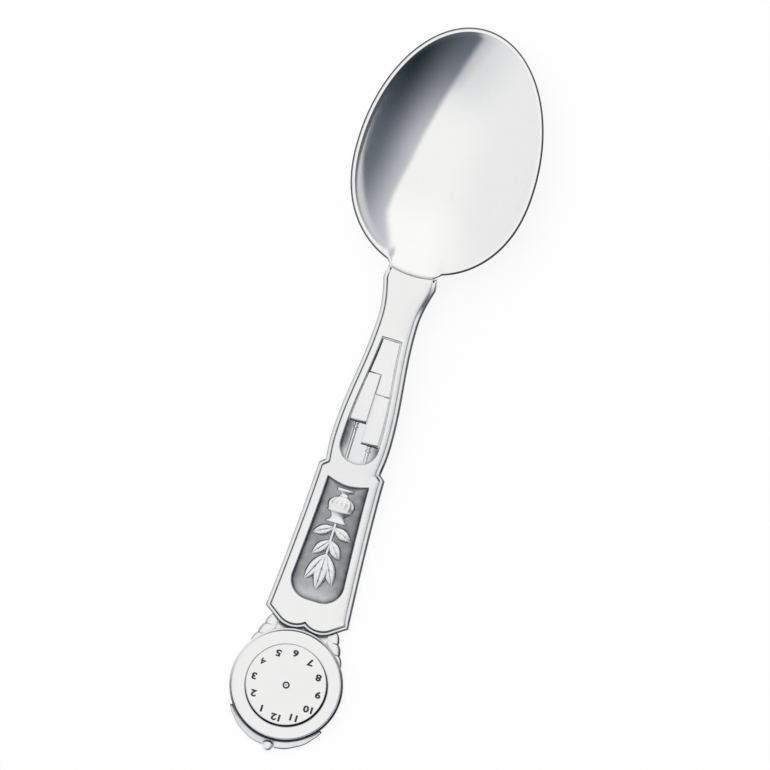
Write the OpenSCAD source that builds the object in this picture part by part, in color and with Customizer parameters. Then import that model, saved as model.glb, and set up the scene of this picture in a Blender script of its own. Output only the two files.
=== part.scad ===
// Baby spoon whose handle is a long-case clock: a dial in a round bezel at the
// handle's end, a case with a window, a trunk with three hanging weights, and a bowl.
// Frame: X across, +Y towards the bowl's tip, +Z up, origin on the table under the middle.

/* [Bowl] */
// Length of the bowl, from its tip to the heel that meets the handle
bowl_length = 51; // [42:0.2:60]
// Width of the bowl over its rim at the widest place
bowl_width = 36.6; // [28:0.2:44]
// Distance from the heel to the widest place
bowl_heel = 23.2; // [18:0.2:28]
// Power of the heel's curve: 2 is an ellipse, more is fuller
bowl_fullness = 2.3; // [2:0.05:2.6]
// Length of the short neck where the bowl's curve runs into the handle
bowl_neck = 0.8; // [0:0.1:1.2]
// Depth of the hollow below the rim
bowl_depth = 8.2; // [6:0.1:11]
// Power of the hollow's section: 2 is a parabola, more is flatter below
bowl_section = 2.2; // [2:0.05:3]
// Wall at the bottom of the bowl
bowl_wall = 1.1; // [0.7:0.05:1.6]
// Width of the flat lip round the rim
bowl_lip = 0.9; // [0.6:0.05:1.4]
// Height of the lip's outer edge
bowl_edge = 0.5; // [0.3:0.05:0.8]
// Length of the drop that thickens the bowl's back behind the handle
drop_length = 9; // [5:0.5:14]

/* [Tang] */
// Width of the tang that joins the bowl to the handle
tang_w = 5; // [3:0.2:6]
// Thickness of the tang
tang_t = 0.7; // [0.5:0.05:0.9]
// Wall between the end of the tang and the bay that holds the weights
tang_wall = 2.3; // [1:0.1:4]

/* [Handle plates] */
// Thickness of the back plate
back_t = 1.1; // [0.8:0.05:1.6]
// Thickness of the front plate
front_t = 1.3; // [1:0.05:1.8]
// Width of the step where the back plate shows round the front plate
border = 0.9; // [0.5:0.05:1.2]
// Height of the front plate's foot above the bowl's rim
foot_rise = 0.4; // [0:0.05:0.8]

/* [Trunk] */
// Length of the trunk, from the case's shoulder to the bowl's heel
trunk_length = 39.7; // [34:0.1:46]
// Width of the trunk where it meets the shoulder
trunk_top_w = 11.4; // [10:0.1:13]
// Width of the trunk at its belly
belly_w = 12.2; // [11:0.1:14]
// Distance from the shoulder to the belly
belly_place = 5; // [3:0.1:8]
// Width of the trunk at its waist
waist_w = 8.2; // [7.4:0.1:10]
// Distance from the heel to the waist
waist_place = 9.3; // [7:0.1:12]
// Width of the flared foot
foot_w = 10.8; // [9:0.1:13]
// Distance from the heel to the widest place of the foot
foot_place = 1.7; // [1:0.1:3]
// How much the foot draws in each side at the heel
foot_tuck = 0.15; // [0:0.05:0.8]

/* [Weights] */
// Width of the frame beside the weights
bay_frame = 1.4; // [0.9:0.05:1.8]
// Distance from the shoulder to the top of the arch of the bay that holds the weights
bay_head = 0.6; // [0.3:0.05:1.5]
// Length of the bay, from the top of its arch to its lower end
bay_length = 25.8; // [22:0.1:28]
// Length of each of the two weights in front
weight_length = 10.2; // [7:0.1:11]
// How far below the top of the arch the left weight hangs
left_hang = 8.2; // [5:0.1:9]
// How far below the top of the arch the right weight hangs
right_hang = 4.2; // [3.4:0.1:5]
// Thickness of the two weights in front
weight_t = 0.95; // [0.6:0.05:1.2]
// Radius of their crowned faces
crown_r = 7; // [5:0.5:12]
// Thickness of the weight behind
rear_t = 0.55; // [0.3:0.05:0.7]
// Gap between the weights, and between a weight and the frame
weight_gap = 0.15; // [0.05:0.05:0.3]
// Diameter of the rods that the weights hang on
rod_d = 0.6; // [0.4:0.05:0.8]

/* [Case] */
// Length of the case, from the notch in its top edge to the shoulder
case_length = 33.6; // [28:0.1:40]
// Width of the case at the shoulder
case_foot_w = 13.7; // [12.5:0.1:16]
// Width of the case at the corners of its top edge
case_head_w = 17.2; // [15:0.1:20]
// Power of the curve in the case's sides: 1 is straight
case_flare = 1.4; // [1:0.05:2]
// Fall of the shoulder from the trunk out to the case's side
shoulder_drop = 1; // [0.4:0.1:2]
// Distance of the corners from the notch, along the handle
corner_place = 2.2; // [1.6:0.1:3]
// Radius of the two lobes of the top edge
lobe_r = 5.2; // [4.6:0.1:6]
// Distance of each lobe from the middle line
lobe_place = 2.7; // [2:0.1:3.2]
// Width of the frame beside the window
window_frame = 1.85; // [1.2:0.05:2.2]
// Distance from the shoulder to the window's lower corners
sill_place = 3.2; // [2:0.1:5]
// Rise of the arched sill between the window's lower corners
sill_rise = 0.9; // [0:0.1:1.2]
// Distance from the notch to the window's upper edge
window_head = 5.7; // [4.6:0.1:7]
// Radius of the window's upper corners
window_corner = 3.2; // [1:0.1:3.4]

/* [Relief] */
// Height of the relief in the window
relief_t = 1; // [0.6:0.05:1.1]
// Gap between the middle of the sill and the urn
sill_gap = 0.5; // [0.2:0.05:0.8]
// Gap between the bloom and the window's upper edge
bloom_gap = 2.3; // [1:0.1:3]
// Height of the urn, in a window of the usual length
urn_height = 7.2; // [6:0.1:8]
// Widest width of the urn
urn_w = 5.6; // [3.4:0.1:6]
// Length of the stem between the urn and the bloom
stem_length = 6.4; // [5.4:0.1:7.4]
// Diameter of the stem
stem_d = 0.8; // [0.5:0.05:1]
// Length of a leaf
leaf_length = 4.4; // [3.4:0.1:4.6]
// Width of a leaf
leaf_w = 2.3; // [1.2:0.1:2.6]
// Height of a leaf
leaf_t = 0.75; // [0.4:0.05:0.9]
// Length of a petal
petal_length = 7.4; // [5:0.1:7.8]
// Width of a petal
petal_w = 3; // [2:0.1:3.4]

/* [Head] */
// Diameter of the bezel
bezel_d = 22.7; // [20:0.1:23]
// Diameter of the dial
dial_d = 16.3; // [13:0.1:18]
// Distance from the dial's centre to the notch in the case's top edge
dial_place = 11.9; // [11.8:0.1:14]
// Height of the bezel on the back plate
bezel_t = 1.4; // [1:0.05:2]
// Width of the flange round the bezel's foot
flange_w = 0.45; // [0.2:0.05:0.8]
// Height of the flange
flange_t = 0.35; // [0.2:0.05:0.5]
// Height at which the bezel's straight outer wall turns into its crown
bezel_wall = 0.5; // [0.5:0.05:0.8]
// Height of the dial on the back plate
dial_t = 1.45; // [0.8:0.05:1.8]
// Bevel round the dial's upper edge
dial_bevel = 0.3; // [0.05:0.05:0.4]
// Overhang of the bezel round the back plate's pad
overhang = 0.95; // [0.5:0.05:1.4]
// Width of the link between the pad and the case
link_w = 10.4; // [9:0.1:12]
// Diameter of the rivet's head at the dial's centre
rivet_d = 1.45; // [1.1:0.05:2]
// Height of the rivet's head
rivet_head = 0.25; // [0.15:0.05:0.4]
// Diameter of the rivet's shank
shank_d = 0.8; // [0.5:0.05:0.9]
// Depth of the rivet's shank in the back plate
shank_depth = 0.55; // [0.3:0.05:0.7]
// Distance from the dial's centre to the end of the handle
crest_reach = 13.8; // [13.2:0.1:15]
// Radius of the crest's outer curve
crest_r = 10.75; // [10:0.05:11.2]
// Distance of the crest's curve from the dial's centre
crest_place = 2.2; // [1.6:0.1:2.4]
// Distance of the crest's two ends from the dial's centre, along the handle
crest_end = 7; // [6:0.1:8]
// Diameter of the bead on the crest
bead_d = 2.3; // [1.6:0.1:3]
// Diameter of the rolled edge on the crest
roll_d = 1; // [0.6:0.05:1.2]
// Height of the carved scrolls and the crest
carving_t = 0.75; // [0.5:0.05:0.9]

/* [Hidden] */
$fn = 48;

// Clearance where one piece is fitted into another
fit_gap = 0.05;
// Length by which a cutting shape passes through what it cuts
pass = 1;
// Length of a shape that clips the handle from side to side or from top to bottom
tall = 2 * bezel_d;

// Stations along the handle, from its end to the bowl's tip
total_length = crest_reach + dial_place + case_length + trunk_length + bowl_length;
y_end = -total_length / 2;
y_dial = y_end + crest_reach;
y_notch = y_dial + dial_place;
y_shoulder = y_notch + case_length;
y_heel = y_shoulder + trunk_length;
y_widest = y_heel + bowl_heel;

// Heights: the bowl's bottom and the head's back both rest on the table
rim_z = bowl_depth + bowl_wall;
heel_z = rim_z + foot_rise - back_t - front_t;
front_z = back_t + front_t;

// The handle rises in two arcs of equal angle, hollow under the case, full under the trunk
arc_angle = 2 * atan(heel_z / (case_length + trunk_length));
case_r = case_length / sin(arc_angle);
trunk_r = trunk_length / sin(arc_angle);
arc_steps = 14;

function slope(y) =
    y <= y_notch ? 0 :
    y <= y_shoulder ? asin((y - y_notch) / case_r) :
    y <= y_heel ? asin((y_heel - y) / trunk_r) : 0;

function rise(y) =
    y <= y_notch ? 0 :
    y <= y_shoulder ? case_r * (1 - cos(slope(y))) :
    y <= y_heel ? heel_z - trunk_r * (1 - cos(slope(y))) : heel_z;

// A point of the handle's section, at a height above the back's curve and square to it
function above(y, height) = [y - height * sin(slope(y)), rise(y) + height * cos(slope(y))];

stations = concat(
    [y_end - pass],
    [for (i = [0:arc_steps]) y_notch + case_length * i / arc_steps],
    [for (i = [1:arc_steps]) y_shoulder + trunk_length * i / arc_steps],
    [y_heel + bowl_heel / 2]
);

// A layer of the handle between two heights, all across
module layer(low, high) {
    bottom = [for (y = stations) above(y, low)];
    top = [for (i = [len(stations) - 1:-1:0]) above(stations[i], high)];
    rotate([90, 0, 90])
        linear_extrude(tall, center = true)
            polygon(concat(bottom, top));
}

// The part of a layer that lies inside a plan outline
module plate(low, high) {
    intersection() {
        layer(low, high);
        linear_extrude(tall, center = true)
            children();
    }
}

// Sets a piece on the handle's curve, with its own Z square to the curve
module set_on(x, y, height) {
    translate([x, above(y, height)[0], above(y, height)[1]])
        rotate([slope(y), 0, 0])
            children();
}

// Half widths of the trunk and the case along the handle
y_belly = y_shoulder + belly_place;
y_waist = y_heel - waist_place;
y_foot = y_heel - foot_place;
y_ear = y_heel + foot_place / 2;
y_corner = y_notch + corner_place;

function ease(from, to, t) = from + (to - from) * (1 - cos(180 * t)) / 2;

function trunk_half(y) = (
    y <= y_belly ? trunk_top_w + (belly_w - trunk_top_w) * sin(90 * (y - y_shoulder) / belly_place) :
    y <= y_waist ? ease(belly_w, waist_w, (y - y_belly) / (y_waist - y_belly)) :
    y <= y_foot ? foot_w - (foot_w - waist_w) * sin(90 * (1 - (y - y_waist) / (y_foot - y_waist))) :
    foot_w - 2 * foot_tuck * pow((y - y_foot) / foot_place, 2)) / 2;

function case_half(y) =
    (case_foot_w + (case_head_w - case_foot_w)
        * pow((y_shoulder - shoulder_drop - y) / (y_shoulder - shoulder_drop - y_corner), case_flare)) / 2;

// Plan of the handle, drawn in by an inset that is square to each edge
lobe_y = y_notch + sqrt(pow(lobe_r, 2) - pow(lobe_place, 2));
side_steps = 10;
lobe_steps = 8;
shoulder_slant = atan(shoulder_drop / ((case_foot_w - trunk_top_w) / 2));

// Angle, seen from a lobe's centre, where a line from a corner touches the lobe
function touch(corner, r) =
    atan2(corner[1] - lobe_y, corner[0] - lobe_place)
    - acos(r / norm([corner[0] - lobe_place, corner[1] - lobe_y]));

edge_slant = touch([case_head_w / 2, y_corner], lobe_r) + 90;

function corner(inset) = [case_head_w / 2 - inset, y_corner + inset * tan(45 - edge_slant / 2)];

function half_plan(inset) =
    let (
        r = lobe_r - inset,
        notch_angle = -90 - asin(lobe_place / r),
        touch_angle = touch(corner(inset), r),
        tuck = inset * tan(45 - shoulder_slant / 2),
        case_end = y_shoulder - shoulder_drop - tuck,
        trunk_start = y_shoulder - tuck
    )
    concat(
        [for (i = [0:lobe_steps])
            let (a = notch_angle + (touch_angle - notch_angle) * i / lobe_steps)
            [lobe_place + r * cos(a), lobe_y + r * sin(a)]],
        [for (i = [0:side_steps])
            let (y = corner(inset)[1] + (case_end - corner(inset)[1]) * i / side_steps)
            [case_half(min(y, y_shoulder - shoulder_drop)) - inset, y]],
        [[trunk_half(y_shoulder) - inset, trunk_start]],
        [for (i = [1:2 * side_steps])
            let (y = y_shoulder + (y_foot - y_shoulder) * i / (2 * side_steps))
            [trunk_half(y) - inset, y]],
        [for (i = [1:4])
            let (y = y_foot + (y_ear - y_foot) * i / 4)
            [trunk_half(y) - inset, y]]
    );

// Both halves of an outline that starts and ends near the middle line
module both_sides(half) {
    polygon(concat(half, [for (i = [len(half) - 1:-1:0]) [-half[i][0], half[i][1]]]));
}

module handle_plan(inset) {
    difference() {
        both_sides(half_plan(inset));
        bowl_plan(fit_gap);
    }
}

// The round pad of the back plate under the bezel, with the link to the case
pad_r = bezel_d / 2 - overhang;

module head_plan() {
    translate([0, y_dial])
        circle(pad_r, $fn = 96);
    translate([-link_w / 2, y_dial])
        square([link_w, lobe_y - y_dial]);
}

// The bowl's neck: as wide as the foot less the lip, then drawn out sideways into the bowl's curve
neck_half = foot_w / 2 - bowl_lip;
// Width of the neck's flare, in widths of the lip
neck_flare = 1.3;
// Power by which the neck fades out from the rim towards the middle of the bowl
neck_power = 5;

function fade(t) = t >= 1 ? 0 : (1 + cos(180 * max(0, t))) / 2;

function neck(x) = bowl_neck * fade((abs(x) - neck_half) / (neck_flare * bowl_lip));

// Egg outline of the bowl about its widest place, shrunk to a share: 0 degrees is the tip
function egg(a, inset, share) =
    let (x = (bowl_width / 2 - inset) * sin(a))
    share * [x, cos(a) >= 0
        ? (bowl_length - bowl_heel - inset) * cos(a)
        : -(bowl_heel - bowl_neck - inset) * pow(-cos(a), 2 / bowl_fullness) - neck(x) * pow(share, neck_power)];

bowl_sides = 72;
bowl_rings = 13;

module bowl_plan(grow) {
    translate([0, y_widest])
        polygon([for (i = [0:bowl_sides - 1]) egg(360 * i / bowl_sides, -grow, 1)]);
}

// The drop: full thickness beside the handle's foot, faded out along and across the bowl
drop_t = rim_z - heel_z - bowl_edge;
drop_half = foot_w / 2 + bowl_lip;
drop_flat = 0.5;

function drop(x, y) =
    drop_t * fade((abs(x) / drop_half - drop_flat) / (1 - drop_flat))
    * fade((y + bowl_heel) / drop_length);

function outer_ring(share) = [for (i = [0:bowl_sides - 1])
    let (p = egg(360 * i / bowl_sides, 0, share))
    [p[0], p[1], (rim_z - bowl_edge) * pow(share, bowl_section) - drop(p[0], p[1])]];

function inner_ring(share) = [for (i = [0:bowl_sides - 1])
    let (p = egg(360 * i / bowl_sides, bowl_lip, share))
    [p[0], p[1], bowl_wall + bowl_depth * pow(share, bowl_section)]];

function rim_ring() = [for (i = [0:bowl_sides - 1])
    let (p = egg(360 * i / bowl_sides, 0, 1)) [p[0], p[1], rim_z]];

module bowl_shell() {
    rings = concat(
        [for (k = [1:bowl_rings]) outer_ring(k / bowl_rings)],
        [rim_ring()],
        [for (k = [bowl_rings:-1:1]) inner_ring(k / bowl_rings)]
    );
    count = len(rings);
    points = concat([[0, 0, 0]], [for (ring = rings) each ring], [[0, 0, bowl_wall]]);
    last = len(points) - 1;
    faces = concat(
        [for (i = [0:bowl_sides - 1]) [0, 1 + (i + 1) % bowl_sides, 1 + i]],
        [for (k = [0:count - 2], i = [0:bowl_sides - 1])
            let (a = 1 + k * bowl_sides + i, b = 1 + k * bowl_sides + (i + 1) % bowl_sides)
            each [[a, b, a + bowl_sides], [b, b + bowl_sides, a + bowl_sides]]],
        [for (i = [0:bowl_sides - 1])
            let (base = 1 + (count - 1) * bowl_sides)
            [last, base + i, base + (i + 1) % bowl_sides]]
    );
    translate([0, y_widest, 0])
        polyhedron(points, faces);
}

// The bay that holds the weights runs from its arch down to this station
y_arch_top = y_shoulder + bay_head;
y_bay = y_arch_top + bay_length;

module tang(grow) {
    end = y_bay + tang_wall;
    plate(back_t - grow, back_t + tang_t + grow)
        translate([-tang_w / 2 - grow, end - grow])
            square([tang_w + 2 * grow, y_heel + bowl_lip - end + grow]);
}

module bowl() {
    color("silver") {
        bowl_shell();
        tang(0);
    }
}

module handle_back() {
    color("gainsboro")
        difference() {
            plate(0, back_t) {
                handle_plan(0);
                head_plan();
            }
            translate([0, y_dial, back_t - shank_depth])
                cylinder(d = shank_d + 2 * fit_gap, h = tall);
        }
}

// Plan of the bay: sides along the trunk's sides, an arch at the top
bay_r = belly_w / 2 - border - bay_frame;
y_arch = y_arch_top + bay_r;

function bay_half(y) =
    y < y_arch ? sqrt(pow(bay_r, 2) - pow(y_arch - y, 2)) : min(trunk_half(y) - border - bay_frame, bay_r);

module bay_plan() {
    both_sides([for (i = [0:side_steps])
        let (y = y_arch + (y_bay - y_arch) * i / side_steps) [bay_half(y), y]]);
    translate([0, y_arch])
        circle(bay_r);
}

// The window in the case: sides along the case's sides, an arched sill, round upper corners
y_sill = y_shoulder - sill_place;
y_window = y_notch + window_head;

function window_half(y) = case_half(y) - border - window_frame;

module window_plan() {
    turn = y_window + window_corner;
    both_sides(concat(
        [for (i = [0:6])
            let (a = -90 + 15 * i)
            [window_half(turn) - window_corner * (1 - cos(a)), turn + window_corner * sin(a)]],
        [for (i = [1:4])
            let (y = turn + (y_sill - turn) * i / 4) [window_half(y), y]],
        [for (i = [1:6])
            let (x = window_half(y_sill) * (1 - i / 6))
            [x, y_sill - sill_rise * cos(90 * (1 - i / 6))]]
    ));
}

module handle_front() {
    color("whitesmoke")
        difference() {
            plate(back_t, front_z)
                difference() {
                    handle_plan(border);
                    bay_plan();
                    window_plan();
                }
            tang(fit_gap);
        }
}

// The outer side of a weight between two stations, along the bay's side
function weight_side(from, to) = [for (i = [0:side_steps])
    let (y = from + (to - from) * i / side_steps)
    [bay_half(y) - weight_gap, y]];

// Plan of a front weight on the right of the middle line; what is cut to clear it is grown
module weight_plan(hang, grow) {
    high = y_arch_top + hang;
    low = high + weight_length + grow;
    inner = weight_gap / 2 - grow;
    outer = [for (p = weight_side(high, low)) p + [grow, 0]];
    polygon(concat([[inner, high]], outer, [[inner, low]]));
}

// A plate of a weight, crowned across like the drum that it stands for
module weight(hang) {
    middle = y_arch_top + hang + weight_length / 2;
    color("silver")
        intersection() {
            plate(back_t, front_z)
                weight_plan(hang, 0);
            set_on(bay_half(middle) / 2, middle, back_t + weight_t - crown_r)
                rotate([90, 0, 0])
                    cylinder(r = crown_r, h = 2 * weight_length, center = true, $fn = 96);
        }
}

module weight_left() {
    mirror([1, 0, 0])
        weight(left_hang);
}

module weight_right() {
    weight(right_hang);
}

// The weight behind: from the bay's lower end up under the lower end of the right weight
module weight_rear() {
    high = y_arch_top + right_hang + weight_length;
    color("gainsboro")
        plate(back_t, back_t + rear_t)
            difference() {
                both_sides(weight_side(y_bay - weight_gap, high));
                weight_plan(right_hang, weight_gap);
                mirror([1, 0])
                    weight_plan(left_hang, weight_gap);
            }
}

// A rod on the right of the middle line, from the arch of the bay down to its weight
module rod(hang) {
    end = y_arch_top + hang;
    color("gainsboro")
        intersection() {
            plate(back_t, front_z)
                intersection() {
                    bay_plan();
                    translate([0, y_shoulder])
                        square([belly_w, end - y_shoulder]);
                }
            set_on(bay_half(end) / 2, (y_arch_top + end) / 2, back_t + rod_d / 2)
                rotate([90, 0, 0])
                    cylinder(d = rod_d, h = 2 * hang, center = true, $fn = 24);
        }
}

module rod_left() {
    mirror([1, 0, 0])
        rod(left_hang);
}

module rod_right() {
    rod(right_hang);
}

// Relief in the window: an urn on the sill, a stem with leaves, and a bloom at the top,
// drawn to fill the window's length between two gaps
y_urn = y_sill - sill_rise - sill_gap;
fill = (y_urn - y_window - bloom_gap) / (urn_height + stem_length + petal_length);
y_urn_top = y_urn - fill * urn_height;
y_bloom = y_urn_top - fill * stem_length;
urn_half = fill * urn_w / 2;

// Turned outline of the urn: shares of its height and of its half width
urn_profile = [[0, 0.66], [0.07, 0.66], [0.13, 0.26], [0.19, 0.26], [0.3, 0.7], [0.44, 1],
    [0.6, 0.92], [0.76, 0.56], [0.84, 0.5], [0.93, 0.78], [1, 0.82]];
// Depth of the urn's axis below the ground, so that it stands out by the relief's height
urn_sink = (pow(urn_half, 2) - pow(relief_t, 2)) / (2 * relief_t);

module relief_urn() {
    outline = [for (p = urn_profile)
        [sqrt(pow(p[1] * urn_half, 2) + pow(urn_sink, 2)), p[0] * fill * urn_height]];
    color("silver")
        intersection() {
            layer(back_t, front_z);
            set_on(0, y_urn, back_t - urn_sink)
                rotate([90, 0, 0])
                    rotate_extrude($fn = 96)
                        polygon(concat([[0, 0]], outline, [[0, fill * urn_height]]));
        }
}

// How much flatter a leaf's dome is than one that would fade out at the leaf's two points
leaf_ease = 1.2;

// A pointed leaf that lies from the origin along -Y, domed to a height
module leaf(length, width, height) {
    arc_r = (pow(length, 2) + pow(width, 2)) / (4 * width);
    dome_r = leaf_ease * (pow(length / 2, 2) + pow(height, 2)) / (2 * height);
    intersection() {
        translate([0, -length / 2, 0])
            linear_extrude(2 * height, center = true)
                intersection() {
                    translate([arc_r - width / 2, 0])
                        circle(arc_r, $fn = 96);
                    translate([width / 2 - arc_r, 0])
                        circle(arc_r, $fn = 96);
                }
        translate([0, -length / 2, height - dome_r])
            sphere(dome_r, $fn = 96);
    }
}

// Leaves in pairs along the stem: share of the stem below a pair, and the pair's spread
leaf_pairs = [[0.08, 64], [0.5, 40]];

module relief_leaves() {
    stem_start = y_urn_top - fit_gap;
    stem_end = y_bloom + fit_gap;
    color("silver")
        intersection() {
            layer(back_t, back_t + relief_t);
            union() {
                set_on(0, (stem_start + stem_end) / 2, back_t)
                    rotate([90, 0, 0])
                        cylinder(d = stem_d, h = stem_start - stem_end, center = true, $fn = 24);
                for (pair = leaf_pairs, side = [-1, 1])
                    set_on(0, stem_start - stem_d / 2 - pair[0] * fill * stem_length, back_t)
                        rotate(side * pair[1])
                            leaf(fill * leaf_length, fill * leaf_w, leaf_t);
            }
        }
}

// The bloom: a middle petal over two side petals that spread from one foot
petal_spread = 26;
side_petal = 0.88;

module petal(share) {
    leaf(share * fill * petal_length, share * fill * petal_w, share * relief_t);
}

module relief_bloom() {
    color("silver")
        intersection() {
            layer(back_t, back_t + relief_t);
            set_on(0, y_bloom, back_t) {
                petal(1);
                for (side = [-1, 1])
                    rotate(side * petal_spread)
                        petal(side_petal);
            }
        }
}

// Carved scrolls between the case's corners and the bezel, three leaf ends on each side:
// place across and along from the dial's centre, and radius
scroll_lobes = [[5.9, 12.2, 1], [6.6, 10.1, 1.2], [7.9, 7.9, 1.05]];
// Radius of a leaf end's crown, as a multiple of its own radius
lobe_crown = 2;

module scroll_fill() {
    polygon(concat(
        [for (lobe = scroll_lobes) [lobe[0], lobe[1]]],
        [[link_w / 2, scroll_lobes[2][1]], [link_w / 2, dial_place]]
    ));
}

module scroll() {
    color("gainsboro")
        translate([0, y_dial, 0])
            difference() {
                union() {
                    for (lobe = scroll_lobes)
                        translate([lobe[0], lobe[1], 0])
                            intersection() {
                                cylinder(r = lobe[2], h = back_t);
                                translate([0, 0, back_t - lobe_crown * lobe[2]])
                                    sphere(lobe_crown * lobe[2], $fn = 96);
                            }
                    linear_extrude(carving_t)
                        scroll_fill();
                }
                translate([0, -y_dial, -pass])
                    linear_extrude(tall) {
                        both_sides(half_plan(0));
                        head_plan();
                    }
            }
}

module scroll_left() {
    mirror([1, 0, 0])
        scroll();
}

module scroll_right() {
    scroll();
}

// The crest: a crescent round the end of the pad with a rolled edge and a bead
bead_y = y_end + bead_d / 2;

module crest_plan() {
    difference() {
        translate([0, y_dial - crest_place])
            circle(crest_r, $fn = 96);
        translate([0, y_dial])
            circle(pad_r, $fn = 96);
        translate([-tall / 2, y_dial - crest_end])
            square(tall);
    }
}

module crest() {
    color("gainsboro")
        difference() {
            intersection() {
                union() {
                    linear_extrude(carving_t)
                        crest_plan();
                    translate([0, y_dial - crest_place, carving_t])
                        rotate_extrude($fn = 96)
                            translate([crest_r - roll_d / 2, 0])
                                circle(d = roll_d, $fn = 24);
                }
                linear_extrude(tall)
                    crest_plan();
                translate([-tall / 2, y_end, 0])
                    cube([tall, tall, back_t]);
            }
            translate([0, bead_y, -pass])
                cylinder(d = bead_d + 2 * fit_gap, h = tall);
        }
}

module crest_bead() {
    color("silver")
        translate([0, bead_y, 0])
            intersection() {
                cylinder(d = bead_d, h = bead_d);
                sphere(d = bead_d * sqrt(2));
            }
}

// The bezel: a flange at the foot of a ring with a full crown
bore_r = dial_d / 2 + fit_gap;
ring_r = bezel_d / 2 - flange_w;
ring_half = (ring_r - bore_r) / 2;
// Power of the crown's section: 2 is an ellipse, more is squarer
crown_power = 4;

module bezel() {
    steps = 14;
    crown = [for (i = [0:steps])
        let (a = 180 * i / steps)
        [bore_r + ring_half + ring_half * sign(cos(a)) * pow(abs(cos(a)), 2 / crown_power),
            bezel_wall + (bezel_t - bezel_wall) * pow(sin(a), 2 / crown_power)]];
    color("whitesmoke")
        translate([0, y_dial, back_t])
            rotate_extrude($fn = 96)
                polygon(concat(
                    [[bore_r, 0], [bezel_d / 2, 0], [bezel_d / 2, flange_t], [ring_r, flange_t]],
                    crown
                ));
}

module dial() {
    color("white")
        translate([0, y_dial, back_t])
            difference() {
                rotate_extrude($fn = 96)
                    polygon([
                        [0, 0],
                        [dial_d / 2, 0],
                        [dial_d / 2, dial_t - dial_bevel],
                        [dial_d / 2 - dial_bevel, dial_t],
                        [0, dial_t]
                    ]);
                translate([0, 0, -pass])
                    cylinder(d = shank_d + 2 * fit_gap, h = tall);
            }
}

// The rivet: a shank through the dial into the pad, and a low domed head
module dial_rivet() {
    head_r = (pow(rivet_d / 2, 2) + pow(rivet_head, 2)) / (2 * rivet_head);
    color("silver")
        translate([0, y_dial, back_t]) {
            translate([0, 0, -shank_depth])
                cylinder(d = shank_d, h = shank_depth + dial_t + rivet_head / 2);
            translate([0, 0, dial_t])
                intersection() {
                    cylinder(d = rivet_d, h = rivet_head);
                    translate([0, 0, rivet_head - head_r])
                        sphere(head_r, $fn = 96);
                }
        }
}

bowl();
handle_back();
handle_front();
weight_rear();
weight_left();
weight_right();
rod_left();
rod_right();
relief_urn();
relief_leaves();
relief_bloom();
scroll_left();
scroll_right();
crest();
crest_bead();
bezel();
dial();
dial_rivet();
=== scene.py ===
# %% [markdown]
# This lesson builds a baby spoon whose handle is a long-case clock. The whole spoon is silver, so its look
# comes from the shapes that catch the room, from the dark oxide that a silversmith leaves in every corner to
# make the shapes read, and from shade that is painted onto the silver. Each piece is a mesh built around the
# packed CAD model. Each vertex carries a mark of how dark it is, oxide and painted shade together, and one
# family of silver materials reads that mark. The CAD model is loaded first and is never moved, and its box is
# kept, because the dressed spoon has to be the same size.

import math

import bmesh
import bpy
from mathutils import Matrix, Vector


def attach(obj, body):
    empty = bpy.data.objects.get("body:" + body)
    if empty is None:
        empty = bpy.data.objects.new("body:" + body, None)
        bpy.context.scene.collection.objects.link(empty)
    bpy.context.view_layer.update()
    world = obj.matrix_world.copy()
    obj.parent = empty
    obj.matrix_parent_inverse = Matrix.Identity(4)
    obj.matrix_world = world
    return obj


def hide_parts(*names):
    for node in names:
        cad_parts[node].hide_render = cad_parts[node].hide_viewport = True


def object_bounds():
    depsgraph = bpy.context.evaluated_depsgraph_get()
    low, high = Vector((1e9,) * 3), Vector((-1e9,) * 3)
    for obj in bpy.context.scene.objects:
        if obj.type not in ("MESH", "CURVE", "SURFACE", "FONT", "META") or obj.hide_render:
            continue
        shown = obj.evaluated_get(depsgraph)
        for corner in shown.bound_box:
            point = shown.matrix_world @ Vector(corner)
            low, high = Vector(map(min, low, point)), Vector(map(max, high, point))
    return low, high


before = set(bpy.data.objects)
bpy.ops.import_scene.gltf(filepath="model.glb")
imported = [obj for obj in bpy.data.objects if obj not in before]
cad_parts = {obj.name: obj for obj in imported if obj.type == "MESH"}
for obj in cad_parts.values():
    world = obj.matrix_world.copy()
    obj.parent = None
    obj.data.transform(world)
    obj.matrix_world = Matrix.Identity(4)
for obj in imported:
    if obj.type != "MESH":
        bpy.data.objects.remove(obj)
cad_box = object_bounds()
MM = 0.001
box_mm = [[round(c / MM, 2) for c in corner] for corner in cad_box]
print("frame of", len(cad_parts), "nodes, box in mm", box_mm)

# %% [markdown]
# Seen from the side, the handle lies flat under the dial, sweeps up under the case and levels out at the
# bowl. One could draw every plate on that curve, but it is easier to draw the plates flat and bend them at
# the end. The functions here give the slope and the height of the curve from the same stations as the CAD.
# Sizes below are in millimetres: Y runs along the spoon from the dial to the bowl, X across it and Z up.

# %% The handle's curve
Y_NOTCH, Y_SHOULDER, Y_HEEL, HEEL_Z = -49.3, -15.7, 24.0, 7.3
CURVE_ANGLE = 2 * math.atan(HEEL_Z / (Y_HEEL - Y_NOTCH))
CASE_R = (Y_SHOULDER - Y_NOTCH) / math.sin(CURVE_ANGLE)
TRUNK_R = (Y_HEEL - Y_SHOULDER) / math.sin(CURVE_ANGLE)


def slope(y):
    """Angle of the handle's back at a station."""
    if y <= Y_NOTCH or y >= Y_HEEL:
        return 0
    return math.asin((y - Y_NOTCH) / CASE_R if y <= Y_SHOULDER else (Y_HEEL - y) / TRUNK_R)


def rise(y):
    """Height of the handle's back above the table at a station."""
    if y <= Y_NOTCH:
        return 0
    if y <= Y_SHOULDER:
        return CASE_R * (1 - math.cos(slope(y)))
    return HEEL_Z - TRUNK_R * (1 - math.cos(slope(y)))


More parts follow.
